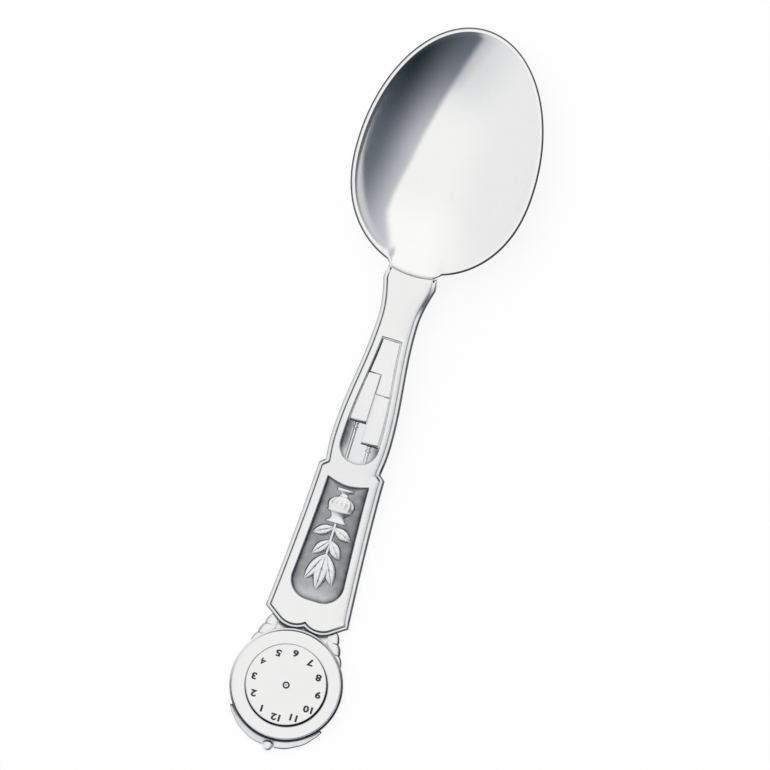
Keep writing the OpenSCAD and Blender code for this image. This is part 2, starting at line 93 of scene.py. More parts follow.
def bend(bm):
    """Set a flat mesh on the handle's curve: plan kept, heights square to the curve."""
    for v in bm.verts:
        v.co.z = rise(v.co.y) + v.co.z / math.cos(slope(v.co.y))


print("the handle rises", HEEL_Z, "mm in two arcs of", round(math.degrees(CURVE_ANGLE), 2), "degrees")

# %% [markdown]
# A struck spoon is made from flat blanks, so each plate starts as an outline. The case widens towards the
# dial. The trunk swells to a belly, draws in to a waist and flares to a foot. Points traced from a drawing
# would fix those curves for good, so each half width is a short formula, and a changed size changes the
# curve.

# %% The widths of the handle
TRUNK_TOP_W, BELLY_W, WAIST_W, FOOT_W, FOOT_TUCK = 11.4, 12.2, 8.2, 10.8, 0.15
Y_BELLY, Y_WAIST, Y_FOOT = Y_SHOULDER + 5, Y_HEEL - 9.3, Y_HEEL - 1.7
CASE_FOOT_W, CASE_HEAD_W, CASE_FLARE, SHOULDER_DROP = 13.7, 17.2, 1.4, 1
Y_CORNER = Y_NOTCH + 2.2


def ease(start, end, share):
    """From start to end along half a cosine wave."""
    return start + (end - start) * (1 - math.cos(math.pi * share)) / 2


def trunk_half(y):
    """Half width of the trunk: it swells to a belly, draws in to a waist and flares to a foot."""
    if y <= Y_BELLY:
        swell = math.sin(math.pi / 2 * (y - Y_SHOULDER) / (Y_BELLY - Y_SHOULDER))
        return (TRUNK_TOP_W + (BELLY_W - TRUNK_TOP_W) * swell) / 2
    if y <= Y_WAIST:
        return ease(BELLY_W, WAIST_W, (y - Y_BELLY) / (Y_WAIST - Y_BELLY)) / 2
    if y <= Y_FOOT:
        flare = math.sin(math.pi / 2 * (Y_FOOT - y) / (Y_FOOT - Y_WAIST))
        return (FOOT_W - (FOOT_W - WAIST_W) * flare) / 2
    return FOOT_W / 2 - FOOT_TUCK * ((y - Y_FOOT) / (Y_HEEL - Y_FOOT)) ** 2


def case_half(y):
    """Half width of the case, wider towards the dial."""
    end = Y_SHOULDER - SHOULDER_DROP
    share = max(0, (end - y) / (end - Y_CORNER))
    return (CASE_FOOT_W + (CASE_HEAD_W - CASE_FOOT_W) * share**CASE_FLARE) / 2


print("case", round(2 * case_half(Y_CORNER), 2), "mm wide at its corners")
print("trunk", round(2 * trunk_half(Y_WAIST), 2), "mm wide at its waist")

# %% [markdown]
# The foot is cut to the curve of the bowl's rim, so the heel of that rim comes before the handle's outline.
# It is the end of an egg, a little fuller than an ellipse, and it runs out into a short neck about as wide
# as the foot. Two curves drawn apart would part at the first change of size, so one formula gives both the
# cut and, later, the rim.

# %% The bowl's heel
Y_WIDEST, BOWL_WIDTH, BOWL_HEEL, BOWL_FULLNESS = 47.2, 36.6, 23.2, 2.3
BOWL_NECK, NECK_HALF, NECK_FLARE, NECK_POWER = 0.8, 4.5, 1.17, 16


def fall(t):
    """1 at 0, 0 from 1 on, smooth between."""
    return (1 + math.cos(math.pi * min(1, max(0, t)))) / 2


def heel_reach(x, inset, share=1):
    """How far the bowl reaches from its widest place to the handle: an egg's end with a short neck."""
    wide = BOWL_WIDTH / 2 - inset
    end = (BOWL_HEEL - BOWL_NECK - inset) * max(0, 1 - (x / wide) ** 2) ** (1 / BOWL_FULLNESS)
    return end + BOWL_NECK * fall((abs(x) - NECK_HALF) / NECK_FLARE) * share**NECK_POWER


def egg_heel(x, gap):
    """Station where the handle's end meets the bowl's outline, at a gap from it."""
    return Y_WIDEST - heel_reach(x, -gap)


print("heel at", round(egg_heel(0, 0), 2), "in the middle,", round(egg_heel(FOOT_W / 2, 0), 2), "at the ears")

# %% [markdown]
# The case's edge towards the dial is two lobes with a notch between them, and a straight line runs from
# each lobe to the case's corner. An outline here is a function of an inset: the same number of points each
# time, drawn in square to the edge. That lets a later step run a skin from one inset to the next, which is
# how the rounded edges of the plates and of the bowl's lip are made. The foot's two ears lie where its
# sides cross the heel's curve. That could be solved exactly, but the sides are nearly straight there, so a
# few rounds of substitution land on it.

# %% The outline of the handle
LOBE_R, LOBE_X = 5.2, 2.7
LOBE_Y = Y_NOTCH + math.sqrt(LOBE_R**2 - LOBE_X**2)
HANDLE_STEPS = {"lobe": 24, "case": 28, "shoulder": 4, "trunk": 40, "foot": 5, "heel": 14}
EAR_ROUNDS = 12
FIT_GAP = 0.05


def touch(corner, r):
    """Angle at a lobe's centre where the line from a corner touches the lobe."""
    across, along = corner[0] - LOBE_X, corner[1] - LOBE_Y
    return math.atan2(along, across) - math.acos(r / math.hypot(across, along))


EDGE_SLANT = touch((CASE_HEAD_W / 2, Y_CORNER), LOBE_R) + math.pi / 2
SHOULDER_SLANT = math.atan(SHOULDER_DROP / ((CASE_FOOT_W - TRUNK_TOP_W) / 2))


def between(start, end, steps):
    """Evenly spaced values from start to end, both given."""
    return [start + (end - start) * i / steps for i in range(steps + 1)]


def both_sides(half):
    """A closed outline from its right half, which starts and ends on the middle line."""
    return half + [(-x, y) for x, y in reversed(half[1:-1])]


def handle_outline(inset, end_gap):
    """The case, the trunk and the foot in one outline, anticlockwise from the notch."""
    r = LOBE_R - inset
    corner = CASE_HEAD_W / 2 - inset, Y_CORNER + inset * math.tan(math.pi / 4 - EDGE_SLANT / 2)
    tuck = inset * math.tan(math.pi / 4 - SHOULDER_SLANT / 2)
    y_ear = Y_HEEL
    for _ in range(EAR_ROUNDS):
        y_ear = egg_heel(trunk_half(y_ear) - inset, end_gap)
    turns = between(-math.pi / 2 - math.asin(LOBE_X / r), touch(corner, r), HANDLE_STEPS["lobe"])
    lobe = [(LOBE_X + r * math.cos(a), LOBE_Y + r * math.sin(a)) for a in turns]
    case_end = Y_SHOULDER - SHOULDER_DROP - tuck
    case = [(case_half(y) - inset, y) for y in between(corner[1], case_end, HANDLE_STEPS["case"])]
    stations = between(Y_SHOULDER - tuck, Y_FOOT, HANDLE_STEPS["trunk"])
    trunk = [(trunk_half(max(y, Y_SHOULDER)) - inset, y) for y in stations]
    across, along = [between(a, b, HANDLE_STEPS["shoulder"])[1:-1] for a, b in zip(case[-1], trunk[0])]
    foot = [(trunk_half(y) - inset, y) for y in between(Y_FOOT, y_ear, HANDLE_STEPS["foot"])[1:]]
    heel = [(x, egg_heel(x, end_gap)) for x in between(foot[-1][0], 0, HANDLE_STEPS["heel"])[1:]]
    return both_sides(lobe + case + list(zip(across, along)) + trunk + foot + heel)


print("points in the handle's outline", len(handle_outline(0, FIT_GAP)))

# %% [markdown]
# Two openings go through the front of the handle. The window in the case has an arched sill and two round
# corners, and the bay in the trunk has a round arch where the rods hang. They could be cut out with
# booleans, but then their edges couldn't be rounded ring by ring, so they are outlines too. Both follow the
# sides of the handle at an even distance, and so reuse its half widths.

# %% The window and the bay
BORDER = 0.9
WINDOW_FRAME, WINDOW_CORNER, SILL_RISE = 1.85, 4.0, 0.9
Y_WINDOW, Y_SILL = Y_NOTCH + 5.7, Y_SHOULDER - 3.2
BAY_FRAME, Y_ARCH_TOP = 1.4, Y_SHOULDER + 0.6
BAY_R = BELLY_W / 2 - BORDER - BAY_FRAME
Y_ARCH, Y_BAY = Y_ARCH_TOP + BAY_R, Y_ARCH_TOP + 25.8
OPENING_STEPS = {"corner": 12, "side": 24, "sill": 12, "arch": 20}


def window_half(y):
    """Half width of the window at a station."""
    return case_half(y) - BORDER - WINDOW_FRAME


def window_outline(grow):
    """The window, drawn out by a distance, anticlockwise from the middle of its end at the dial."""
    turn, r = Y_WINDOW + WINDOW_CORNER, WINDOW_CORNER + grow
    centre, wide = window_half(turn) - WINDOW_CORNER, window_half(Y_SILL) + grow
    angles = between(0, math.pi / 2, OPENING_STEPS["corner"])
    corner = [(centre + r * math.sin(a), turn - r * math.cos(a)) for a in angles]
    side = [(window_half(y) + grow, y) for y in between(turn, Y_SILL + grow, OPENING_STEPS["side"])[1:]]
    sill = [(x, Y_SILL + grow - SILL_RISE * math.cos(math.pi / 2 * x / wide))
            for x in between(wide, 0, OPENING_STEPS["sill"])[1:]]
    return both_sides([(0, Y_WINDOW - grow)] + corner + side + sill)


def bay_half(y):
    """Half width of the bay at a station."""
    if y < Y_ARCH:
        return math.sqrt(max(0, BAY_R**2 - (Y_ARCH - y) ** 2))
    return min(trunk_half(y) - BORDER - BAY_FRAME, BAY_R)


def bay_outline(grow):
    """The bay, drawn out by a distance, anticlockwise from the top of its arch."""
    r = BAY_R + grow
    angles = between(0, math.pi / 2, OPENING_STEPS["arch"])
    arch = [(r * math.sin(a), Y_ARCH - r * math.cos(a)) for a in angles]
    side = [(bay_half(y) + grow, y) for y in between(Y_ARCH, Y_BAY, OPENING_STEPS["side"])[1:]]
    return both_sides(arch + side[:-1] + [(side[-1][0], Y_BAY + grow), (0, Y_BAY + grow)])


print("window", len(window_outline(0)), "points, bay", len(bay_outline(0)), "points")

# %% [markdown]
# Materials are trees of nodes, and the sums in them are hard to read as nodes. A small class lets the
# sockets be added and multiplied like numbers, so that shader maths reads as plain Python. Every node,
# whatever its kind, comes from the class's one method for nodes.

# %% Sockets as numbers
class Wire:
    """One socket of a shader tree. Arithmetic on wires adds Math nodes."""

    def __init__(self, tree, socket=None):
        self.tree, self.socket = tree, socket

    def node(self, kind, settings=None, sockets=None, out=0):
        """Add a node: its settings first, then values or links for its sockets."""
        node = self.tree.nodes.new(kind)
        for name, value in (settings or {}).items():
            setattr(node, name, value)
        for name, value in (sockets or {}).items():
            if isinstance(value, Wire):
                self.tree.links.new(value.socket, node.inputs[name])
            else:
                node.inputs[name].default_value = value
        return Wire(self.tree, node.outputs[out] if node.outputs else None)

    def math(self, operation, first, second):
        """A Math node on two values, of which at least one is a wire."""
        return self.node("ShaderNodeMath", {"operation": operation}, {0: first, 1: second})

    def __add__(self, other):
        return self.math("ADD", self, other)

    def __mul__(self, other):
        return self.math("MULTIPLY", self, other)

    def __sub__(self, other):
        return self.math("SUBTRACT", self, other)

    def __rsub__(self, other):
        return self.math("SUBTRACT", other, self)

    __radd__ = __add__
    __rmul__ = __mul__

    def fade(self, low, high):
        """0 below low, 1 above high, smooth between."""
        return self.node("ShaderNodeMapRange", {"interpolation_type": "SMOOTHSTEP"},
                         {"Value": self, "From Min": low, "From Max": high})

    def mix(self, first, second):
        """The first colour where this wire is 0, the second where it is 1."""
        return self.node("ShaderNodeMix", {"data_type": "RGBA"}, {"Factor": self, 6: first, 7: second}, out=2)

    def dot(self, axis):
        """How far a direction runs along an axis, from -1 to 1."""
        return self.node("ShaderNodeVectorMath", {"operation": "DOT_PRODUCT"},
                         {0: self, 1: axis}, out="Value")


def empty_tree(owner):
    """A cleared node tree of a material or a world, as a wire to build from."""
    owner.use_nodes = True
    owner.node_tree.nodes.clear()
    return Wire(owner.node_tree)


print("a wire can", [name for name in vars(Wire) if not name.startswith("_")])

# %% [markdown]
# Silver is nearly white and mirrors the room. In the corners, where the polishing wheel can't reach, it keeps
# a blue-grey oxide that is dull and dark, and the same dark colour is also used for shade painted onto the
# silver. One could shade the corners at render time, but that is lost when the model is exported, so the
# material mixes metal and the dark colour by the mark of oxide and painted shade on each vertex. The wheel
# runs along the spoon and leaves hair-fine lines along Y and a faint cloudiness. The dial is finer and the
# carving keeps more oxide. One function with a few numbers covers all five finishes: the lines go into the
# roughness and a very weak bump, and the cloud into the oxide.

# %% The silver finishes
SILVER, BLUE_SILVER = (0.875, 0.875, 0.878, 1), (0.86, 0.865, 0.875, 1)
# The bowl's silver is a lighter copy of the same silver, painted brighter as the hollow looks in the light.
LIT_SILVER = (0.905, 0.905, 0.905, 1)
# The dark colour serves the oxide in the corners and the painted shade alike.
OXIDE_AND_SHADE, OXIDE_ROUGH = (0.034, 0.042, 0.058, 1), 0.5
CLOUD_SCALE, CLOUD_DETAIL, LINE_DETAIL = 600, 4, 3
CLOUD_SHARE, WORN_AT, WORN_DIM, WORN_ROUGH = 0.4, (0.35, 0.7), 0.985, 0.05
LINE_STRENGTH, LINE_DEPTH = 0.01, 0.0002


def silver(name, polish, lines_along, cloudy, tint):
    """A polished silver: roughness, stretch of its polishing lines, cloud in its oxide, and colour."""
    material = bpy.data.materials.new(name)
    start = empty_tree(material)
    place = start.node("ShaderNodeTexCoord", out="Object")
    tarnish = start.node("ShaderNodeAttribute", {"attribute_name": "tarnish"}, out="Fac")
    cloud = start.node("ShaderNodeTexNoise", sockets={
        "Vector": place, "Scale": CLOUD_SCALE, "Detail": CLOUD_DETAIL})
    drawn = start.node("ShaderNodeMapping", sockets={"Vector": place, "Scale": lines_along})
    lines = start.node("ShaderNodeTexNoise", sockets={"Vector": drawn, "Scale": 1, "Detail": LINE_DETAIL})
    # The mark darkens the silver, both where oxide lies and where shade is painted in.
    oxide_and_shade = (tarnish * (1 - cloudy + 2 * cloudy * cloud)).fade(0, 1)
    worn = (cloud * CLOUD_SHARE + lines * (1 - CLOUD_SHARE)).fade(*WORN_AT)
    bright = worn.mix(tint, [c * WORN_DIM for c in tint[:3]] + [1])
    rough = polish + WORN_ROUGH * worn
    bump = start.node("ShaderNodeBump", sockets={
        "Strength": LINE_STRENGTH, "Distance": LINE_DEPTH, "Height": lines})
    shader = start.node("ShaderNodeBsdfPrincipled", sockets={
        "Base Color": oxide_and_shade.mix(bright, OXIDE_AND_SHADE), "Metallic": 1.0,
        "Roughness": rough + oxide_and_shade * (OXIDE_ROUGH - polish), "Normal": bump})
    start.node("ShaderNodeOutputMaterial", sockets={"Surface": shader})
    return material


ALONG, EVEN = (9000, 250, 9000), (6000, 6000, 6000)
RECIPES = {
    "bowl_silver": (0.08, ALONG, 0.1, LIT_SILVER),
    "handle_silver": (0.14, ALONG, 0.2, SILVER),
    "back_silver": (0.2, ALONG, 0.16, BLUE_SILVER),
    "dial_silver": (0.16, EVEN, 0.15, SILVER),
    "carved_silver": (0.26, EVEN, 0.25, SILVER),
}
FINISHES = {name: silver(name, *recipe) for name, recipe in RECIPES.items()}
print("finishes", sorted(FINISHES))

# %% [markdown]
# A plate with rounded edges could be an extrusion with a bevel, but a bevel at a sharp notch overlaps
# itself. A skin is safer: a first loop of edges is extruded again and again, and each new loop is moved
# onto the next outline, which is the same curve drawn in a little further.

# %% Loops and skins
def new_mesh():
    """An empty mesh whose vertices carry their mark of oxide and painted shade."""
    bm = bmesh.new()
    bm.verts.layers.float.new("tarnish")
    return bm


def place(bm, loop, points, tarnish):
    """Move a loop onto points, with one mark of oxide and painted shade for all or a list of them."""
    layer = bm.verts.layers.float["tarnish"]
    for i, (v, point) in enumerate(zip(loop, points)):
        v.co = point
        v[layer] = tarnish[i] if isinstance(tarnish, list) else tarnish
    return loop


def edges_of(bm, loop):
    """The edges from each vertex of a loop to the next."""
    return [bm.edges.get(pair) for pair in zip(loop, loop[1:] + loop[:1])]


def skin(bm, rings):
    """A skin through rings of points, each with its mark of oxide and painted shade. Gives its first and last
    loop.
    """
    loop = bmesh.ops.create_circle(bm, segments=len(rings[0][0]), radius=1)["verts"]
    first = place(bm, loop, *rings[0])
    for ring in rings[1:]:
        made = bmesh.ops.extrude_edge_only(bm, edges=edges_of(bm, loop))["geom"]
        fresh = {v for v in made if isinstance(v, bmesh.types.BMVert)}
        loop = [next(e.other_vert(v) for e in v.link_edges if e.other_vert(v) in fresh) for v in loop]
        place(bm, loop, *ring)
    return first, loop


print("the handle's skins have loops of", len(handle_outline(0, FIT_GAP)), "edges")

# %% [markdown]
# Oxide lies in the corners, and shade is painted over it, heavier on the side away from the light, so the
# dark doesn't lie evenly round an edge. A ring therefore takes one dark value for the left, one for the right
# and one for its ends, and blends them by the way the outline runs. The end towards the dial can take a
# smaller share. At the heel, where hands and cloths rub, most of the oxide is worn away. Painting this by
# hand on a texture would look alike, but it would have to be painted again with each change of size.

# %% The oxide and painted shade of a ring
SIDE_POWER = 4
HEEL_WORN, WORN_PLACE, WORN_REACH = 0.75, Y_HEEL + 0.4, 2.2


def ring_at(outline, height, left, right, ends, low=1):
    """An outline at one height, with its dark of oxide and painted shade on the left, on the right and at the
    ends.
    """
    tarnish = []
    for (x0, y0), (x, y), (x1, y1) in zip(outline[-1:] + outline[:-1], outline, outline[1:] + outline[:1]):
        across = (y1 - y0) / math.hypot(x1 - x0, y1 - y0)
        end = ends * low if x1 > x0 else ends
        # The left, right and end values carry painted shade, heavier on the side away from the light, over
        # the oxide.
        value = end + ((right if across > 0 else left) - end) * across**SIDE_POWER
        tarnish.append(value * (1 - HEEL_WORN * fall(abs(y - WORN_PLACE) / WORN_REACH)))
    return [(x, y, height) for x, y in outline], tarnish


print("at the heel", round(100 * HEEL_WORN), "percent of the oxide is worn away")

# %% [markdown]
# A skin is a wall without a floor or a lid. Flat tops are filled between an outer loop and the loops of the
# openings, then cut across at even stations, because a flat face can't bend. A carved sheet is closed in
# another way: its open rim is extruded down and filled below.

# %% Closing a mesh
CUT_DIST, CUT_STEP = 1e-5, 1.0


def cover(bm, *loops):
    """Flat faces between an outer loop and the loops of its openings."""
    bmesh.ops.triangle_fill(bm, use_beauty=True, edges=[e for loop in loops for e in edges_of(bm, loop)])


def cut(bm, point, normal, clear_below=False):
    """Cut a whole mesh by a plane, and clear away what lies below the plane if asked."""
    bmesh.ops.bisect_plane(bm, geom=bm.verts[:] + bm.edges[:] + bm.faces[:], dist=CUT_DIST,
                           plane_co=point, plane_no=normal, clear_inner=clear_below)


def cut_along(bm, start, end):
    """Cut a flat plate across at even stations, so that it can bend."""
    for y in between(start, end, round((end - start) / CUT_STEP)):
        cut(bm, (0, y, 0), (0, 1, 0))


def fill_holes(bm):
    """A face over each open rim."""
    bmesh.ops.holes_fill(bm, edges=[e for e in bm.edges if e.is_boundary])


def close_down(bm, height, tarnish):
    """Extrude the open rim of a sheet down to a height and close it below. Gives the upper rim's edges."""
    layer = bm.verts.layers.float["tarnish"]
    rim = [e for e in bm.edges if e.is_boundary]
    made = bmesh.ops.extrude_edge_only(bm, edges=rim)["geom"]
    for v in made:
        if isinstance(v, bmesh.types.BMVert):
            v.co.z = height
            v[layer] = tarnish
    fill_holes(bm)
    return rim


print("flat plates are cut every", CUT_STEP, "mm")

# %% [markdown]
# Every piece of silver ends with the same steps, so one function does them: doubles merged, faces turned
# outwards, millimetres scaled to metres, sharp edges kept sharp, a finish, and a place in the frame. The
# object itself stays at the origin and the place is in the mesh, as with the CAD model's own nodes.

# %% Finishing a piece
MERGE_DIST, SHARP = 1e-4, math.radians(48)


def add_object(name, data):
    """An object of the scene for a mesh, a curve, a lamp or a camera."""
    made = bpy.data.objects.new(name, data)
    bpy.context.scene.collection.objects.link(made)
    return made


def finish_piece(bm, name, node, slot, material=None):
    """Merge, turn outwards and scale a mesh to metres, and give it its finish and its place in the frame."""
    bmesh.ops.remove_doubles(bm, verts=bm.verts, dist=MERGE_DIST)
    bmesh.ops.recalc_face_normals(bm, faces=bm.faces)
    bmesh.ops.scale(bm, vec=(MM, MM, MM), verts=bm.verts)
    uneven = sum(not e.is_manifold for e in bm.edges)
    mesh = bpy.data.meshes.new(name)
    bm.to_mesh(mesh)
    bm.free()
    mesh.shade_smooth()
    mesh.set_sharp_from_angle(angle=SHARP)
    mesh.materials.append(material or FINISHES[slot])
    piece = add_object(name, mesh)
    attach(piece, "root")
    if node:
        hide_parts(node)
    print(name, len(mesh.polygons), "faces,", uneven, "edges not between two faces")


print("edges are sharp from", round(math.degrees(SHARP)), "degrees on")

# %% [markdown]
# The bowl is raised from sheet: a deep hollow, a narrow flat lip and a full back, thickened behind the
# handle by a drop. A spun dish would be round, and this one is an egg, so it is a skin through egg-shaped
# rings: from the middle of the hollow out to the lip, over the edge, and back under to the middle of the
# underside.

# %% The bowl's rings
RIM_Z, BOWL_LENGTH, BOWL_LIP, BOWL_EDGE = 9.3, 51, 0.9, 0.5
BOWL_DEPTH, BOWL_WALL, BOWL_SECTION = 8.2, 1.1, 2.2
DROP_LENGTH, DROP_HALF, DROP_T = 9, FOOT_W / 2 + BOWL_LIP, RIM_Z - HEEL_Z - BOWL_EDGE
# The bowl's back takes a little painted shade, to give it form.
BACK_SHADE = 0.25
BOWL_SIDES, BOWL_RINGS = 180, 40


def egg(inset, share=1):
    """The bowl's outline, drawn in by an inset and then shrunk to a share, anticlockwise from the tip."""
    points = []
    for i in range(BOWL_SIDES):
        s, c = math.sin(math.tau * i / BOWL_SIDES), math.cos(math.tau * i / BOWL_SIDES)
        x = (inset - BOWL_WIDTH / 2) * s
        reach = (BOWL_LENGTH - BOWL_HEEL - inset) * c if c >= 0 else -heel_reach(x, inset, share)
        points.append((x * share, Y_WIDEST + reach * share))
    return points


def hollow(share):
    """A polished ring of the hollow."""
    height = BOWL_WALL + BOWL_DEPTH * share**BOWL_SECTION
    return [(x, y, height) for x, y in egg(BOWL_LIP, share)], 0


def drop(x, y):
    """How far the bowl's back is lowered where it meets the handle."""
    return DROP_T * fall(2 * abs(x) / DROP_HALF - 1) * fall((y - Y_HEEL) / DROP_LENGTH)


def underside(share):
    """A ring of the bowl's back, with a little painted shade."""
    edge = (RIM_Z - BOWL_EDGE) * share**BOWL_SECTION
    return [(x, y, edge - drop(x, y)) for x, y in egg(0, share)], BACK_SHADE


print("a ring of the bowl has", BOWL_SIDES, "points")

# %% [markdown]
# The lip's rings come between the two: a soft inner corner with a little painted shade, most on its left, the
# flat, and a rounded edge with a thin painted dark line, a painted reflection of the dark side of the room.
# One could bevel the rim, but rings placed one by one also carry that line. The two middles would be holes,
# so the first and the last loop are each drawn together to one point.

# %% The bowl's mesh
# Each ring of the lip: inset, drop below the rim, painted dark left, right and at the ends
LIP = [(0.9, 0.05, 0.4, 0, 0.1), (0.84, 0.01, 0.15, 0, 0), (0.76, 0, 0, 0, 0), (0.5, 0, 0, 0, 0),
       (0.42, 0.02, 0.12, 0.15, 0.12), (0.32, 0.06, 0.5, 0.6, 0.5), (0.2, 0.13, 0.8, 0.85, 0.8),
       (0.08, 0.24, 0.9, 0.95, 0.9), (0, 0.36, 0.85, 0.9, 0.85)]
FIRST_SHARE, LAST_SHARE = 0.015, 0.985
bowl = new_mesh()
shares = between(FIRST_SHARE, LAST_SHARE, BOWL_RINGS)
lip = [ring_at(egg(inset), RIM_Z - low, *tarnish) for inset, low, *tarnish in LIP]
back = [underside(1)] + [underside(s) for s in reversed(shares)]
inside, outside = skin(bowl, [hollow(s) for s in shares] + lip + back)
bmesh.ops.pointmerge(bowl, verts=inside, merge_co=(0, Y_WIDEST, BOWL_WALL))
bmesh.ops.pointmerge(bowl, verts=outside, merge_co=(0, Y_WIDEST, 0))
finish_piece(bowl, "spoon_bowl", "bowl", "bowl_silver")

# %% [markdown]
# The back plate is the one blank that runs through the whole handle. It shows as a narrow step round the
# front plate and as the dark ground in the two openings. Its top is flat, so it could be one face, but a face
# has no vertices inside to carry oxide and painted shade. So it is filled between loops: the rounded outer
# edge, which carries a painted dark line, loops where the front plate stands and oxide gathers under painted
# shade, and loops in each opening where the oxide of the ground is painted darker next to the walls and gets
# lighter away from them.

# %% The back plate's loops
BACK_T = 1.1
# Each ring of the outer edge: inset, height, dark left, right and at the ends, painted shade heavier on the
# right and at the ends
BACK_EDGE = [(0.3, 0, 0, 0, 0), (0.12, 0.06, 0, 0.1, 0.1), (0.02, 0.22, 0.1, 0.35, 0.4),
             (0, 0.42, 0.5, 0.72, 0.9), (0.03, 0.66, 0.55, 0.76, 0.95), (0.1, 0.86, 0.5, 0.76, 0.9),
             (0.22, 1.0, 0.3, 0.74, 0.55), (0.36, 1.07, 0.1, 0.64, 0.2), (0.48, 1.1, 0, 0.36, 0),
             (0.54, 1.1, 0, 0.15, 0)]
# Each loop at the front plate's foot: inset past the border, dark left, right and at the ends, oxide with
# painted shade
STEP_FOOT = [(-0.3, 0.15, 0, 0.3), (-0.16, 0.6, 0.05, 0.85), (-0.03, 0.9, 0.15, 1), (0.12, 1, 0.2, 1)]
# Each loop of the ground in an opening: distance outside its wall, dark left, right and at the ends, oxide
# painted darker next to the wall
WINDOW_GROUND = [(0.1, 1, 0.95, 0.9), (-0.15, 0.86, 0.84, 0.8), (-0.5, 0.65, 0.69, 0.62),
                 (-1.1, 0.56, 0.62, 0.52)]
BAY_GROUND = [(0.1, 0.85, 0.75, 0.5), (-0.15, 0.8, 0.7, 0.35), (-0.5, 0.68, 0.6, 0.12),
              (-1.1, 0.58, 0.45, 0.02), (-1.9, 0.1, 0.05, 0)]
# Share of the ends' dark on the end towards the dial, which is painted lighter, and the step loops' extra gap
# at the heel
LOW_END, STEP_END = 0.8, 0.6
print("the step round the front plate is", BORDER, "mm wide")

# %% [markdown]
# Behind the dial the back plate goes on as a thin link and a round pad that carries the head. The pad is a
# skin with a flat fill. The link runs in under the case's lobes, so it is a fine grid that can carry the
# lobes' painted shadow along their curve and be bright beside it.

# %% The pad and the link
Y_DIAL, PAD_R, PAD_SIDES, PAD_DULL = -61.2, 10.4, 96, 0.2
PAD_EDGE = [(0.3, 0), (0.05, 0.1), (0, 0.3), (0, 1.02), (0.08, 1.1)]
LINK_HALF, LINK_LOW, LINK_HIGH, LINK_GRID = 5.2, 0.03, 0.72, (40, 60)
LINK_DULL, LINK_SHADOW, LINK_FADE = 0.1, 0.8, 0.9


def case_edge(x):
    """Station of the case's lobed edge, measured from the dial's centre."""
    return LOBE_Y - math.sqrt(max(0, LOBE_R**2 - (x - LOBE_X) ** 2)) - Y_DIAL


def pad_ring(inset, height):
    """A ring of the pad's edge."""
    r, angles = PAD_R - inset, between(0, math.tau, PAD_SIDES)[:-1]
    return [(r * math.sin(a), Y_DIAL - r * math.cos(a), height) for a in angles], PAD_DULL


def add_pad(bm):
    """The pad under the bezel, and the link that runs from it under the case's lobes."""
    for loop in skin(bm, [pad_ring(*edge) for edge in PAD_EDGE]):
        cover(bm, loop)
    layer = bm.verts.layers.float["tarnish"]
    columns, rows = LINK_GRID
    for v in bmesh.ops.create_grid(bm, x_segments=columns, y_segments=rows, size=1)["verts"]:
        x, y = LINK_HALF * v.co.x, Y_DIAL + (LOBE_Y - Y_DIAL) * (v.co.y + 1) / 2
        v.co = (x, y, LINK_HIGH)
        # Painted shadow of the case's lobes, fading away from their curve.
        v[layer] = LINK_DULL + LINK_SHADOW * fall((Y_DIAL + case_edge(abs(x)) - y) / LINK_FADE)
    close_down(bm, LINK_LOW, LINK_DULL)


print("the pad is", 2 * PAD_R, "mm across and the link", 2 * LINK_HALF, "mm wide")

# %% [markdown]
# Two places on the back plate don't follow the rule of left, right and ends. On the right of the step, beside
# the foot's flare and next to the shoulder, more painted shade is added. In the narrow gaps beside the
# clock's weights and at the bay's end the dark of the ground is lowered. More loops could carry that, but it
# is simpler to change the mark on the vertices that are already there, so the weights' places come first.

# %% Painted shade on the step, and lighter gaps
WEIGHT_LENGTH, HANG = 10.2, {"left": 8.2, "right": 4.2}
# Each place of painted shade on the step: darkness, station, reach along the handle, width from the edge
STEP_SHADE = [(0.75, Y_FOOT - 2.5, 5, BORDER), (0.95, Y_SHOULDER + 1, 3, 0.45)]
GAP_WIDE, GAP_LIGHTER = 0.3, {"left": 0.45, "right": 0.75}


def weight_top(hand):
    """Station where a front weight begins."""
    return Y_ARCH_TOP + HANG[hand]


def darken_step(bm):
    """Paint more shade on the right of the step, beside the foot's flare and next to the shoulder."""
    layer = bm.verts.layers.float["tarnish"]
    for v in bm.verts:
        x, y, z = v.co
        for dark, station, reach, width in STEP_SHADE:
            if y > Y_SHOULDER and z > BACK_T / 2 and x > trunk_half(y) - width:
                # Painted shade on the right of the step.
                v[layer] = max(v[layer], dark * fall(abs(y - station) / reach))


def wear_gaps(bm):
    """Lower the dark of the ground in the narrow gaps beside the weights and at the bay's end."""
    layer = bm.verts.layers.float["tarnish"]
    ends = {"left": weight_top("left") + WEIGHT_LENGTH, "right": Y_BAY}
    for v in bm.verts:
        x, y, z = v.co
        hand = "right" if x > 0 else "left"
        beside = abs(abs(x) - bay_half(y)) < GAP_WIDE and weight_top(hand) < y < ends[hand]
        at_end = abs(x) < bay_half(Y_BAY) and abs(y - Y_BAY) < GAP_WIDE
        if z > BACK_T - GAP_WIDE and (beside or at_end):
            # The ground's oxide and painted shade are lowered here.
            v[layer] *= 1 - GAP_LIGHTER[hand]


print("front weights begin at", [round(weight_top(hand), 2) for hand in HANG])

# %% [markdown]
# Now the back plate comes together, from the outer edge to the openings. Each skin gives back its first and
# its last loop, and the flat fills run from the last loop of one to the first loop of the next. It is drawn
# flat, cut across, marked, and bent last, because the marks are easier to place on a straight handle.

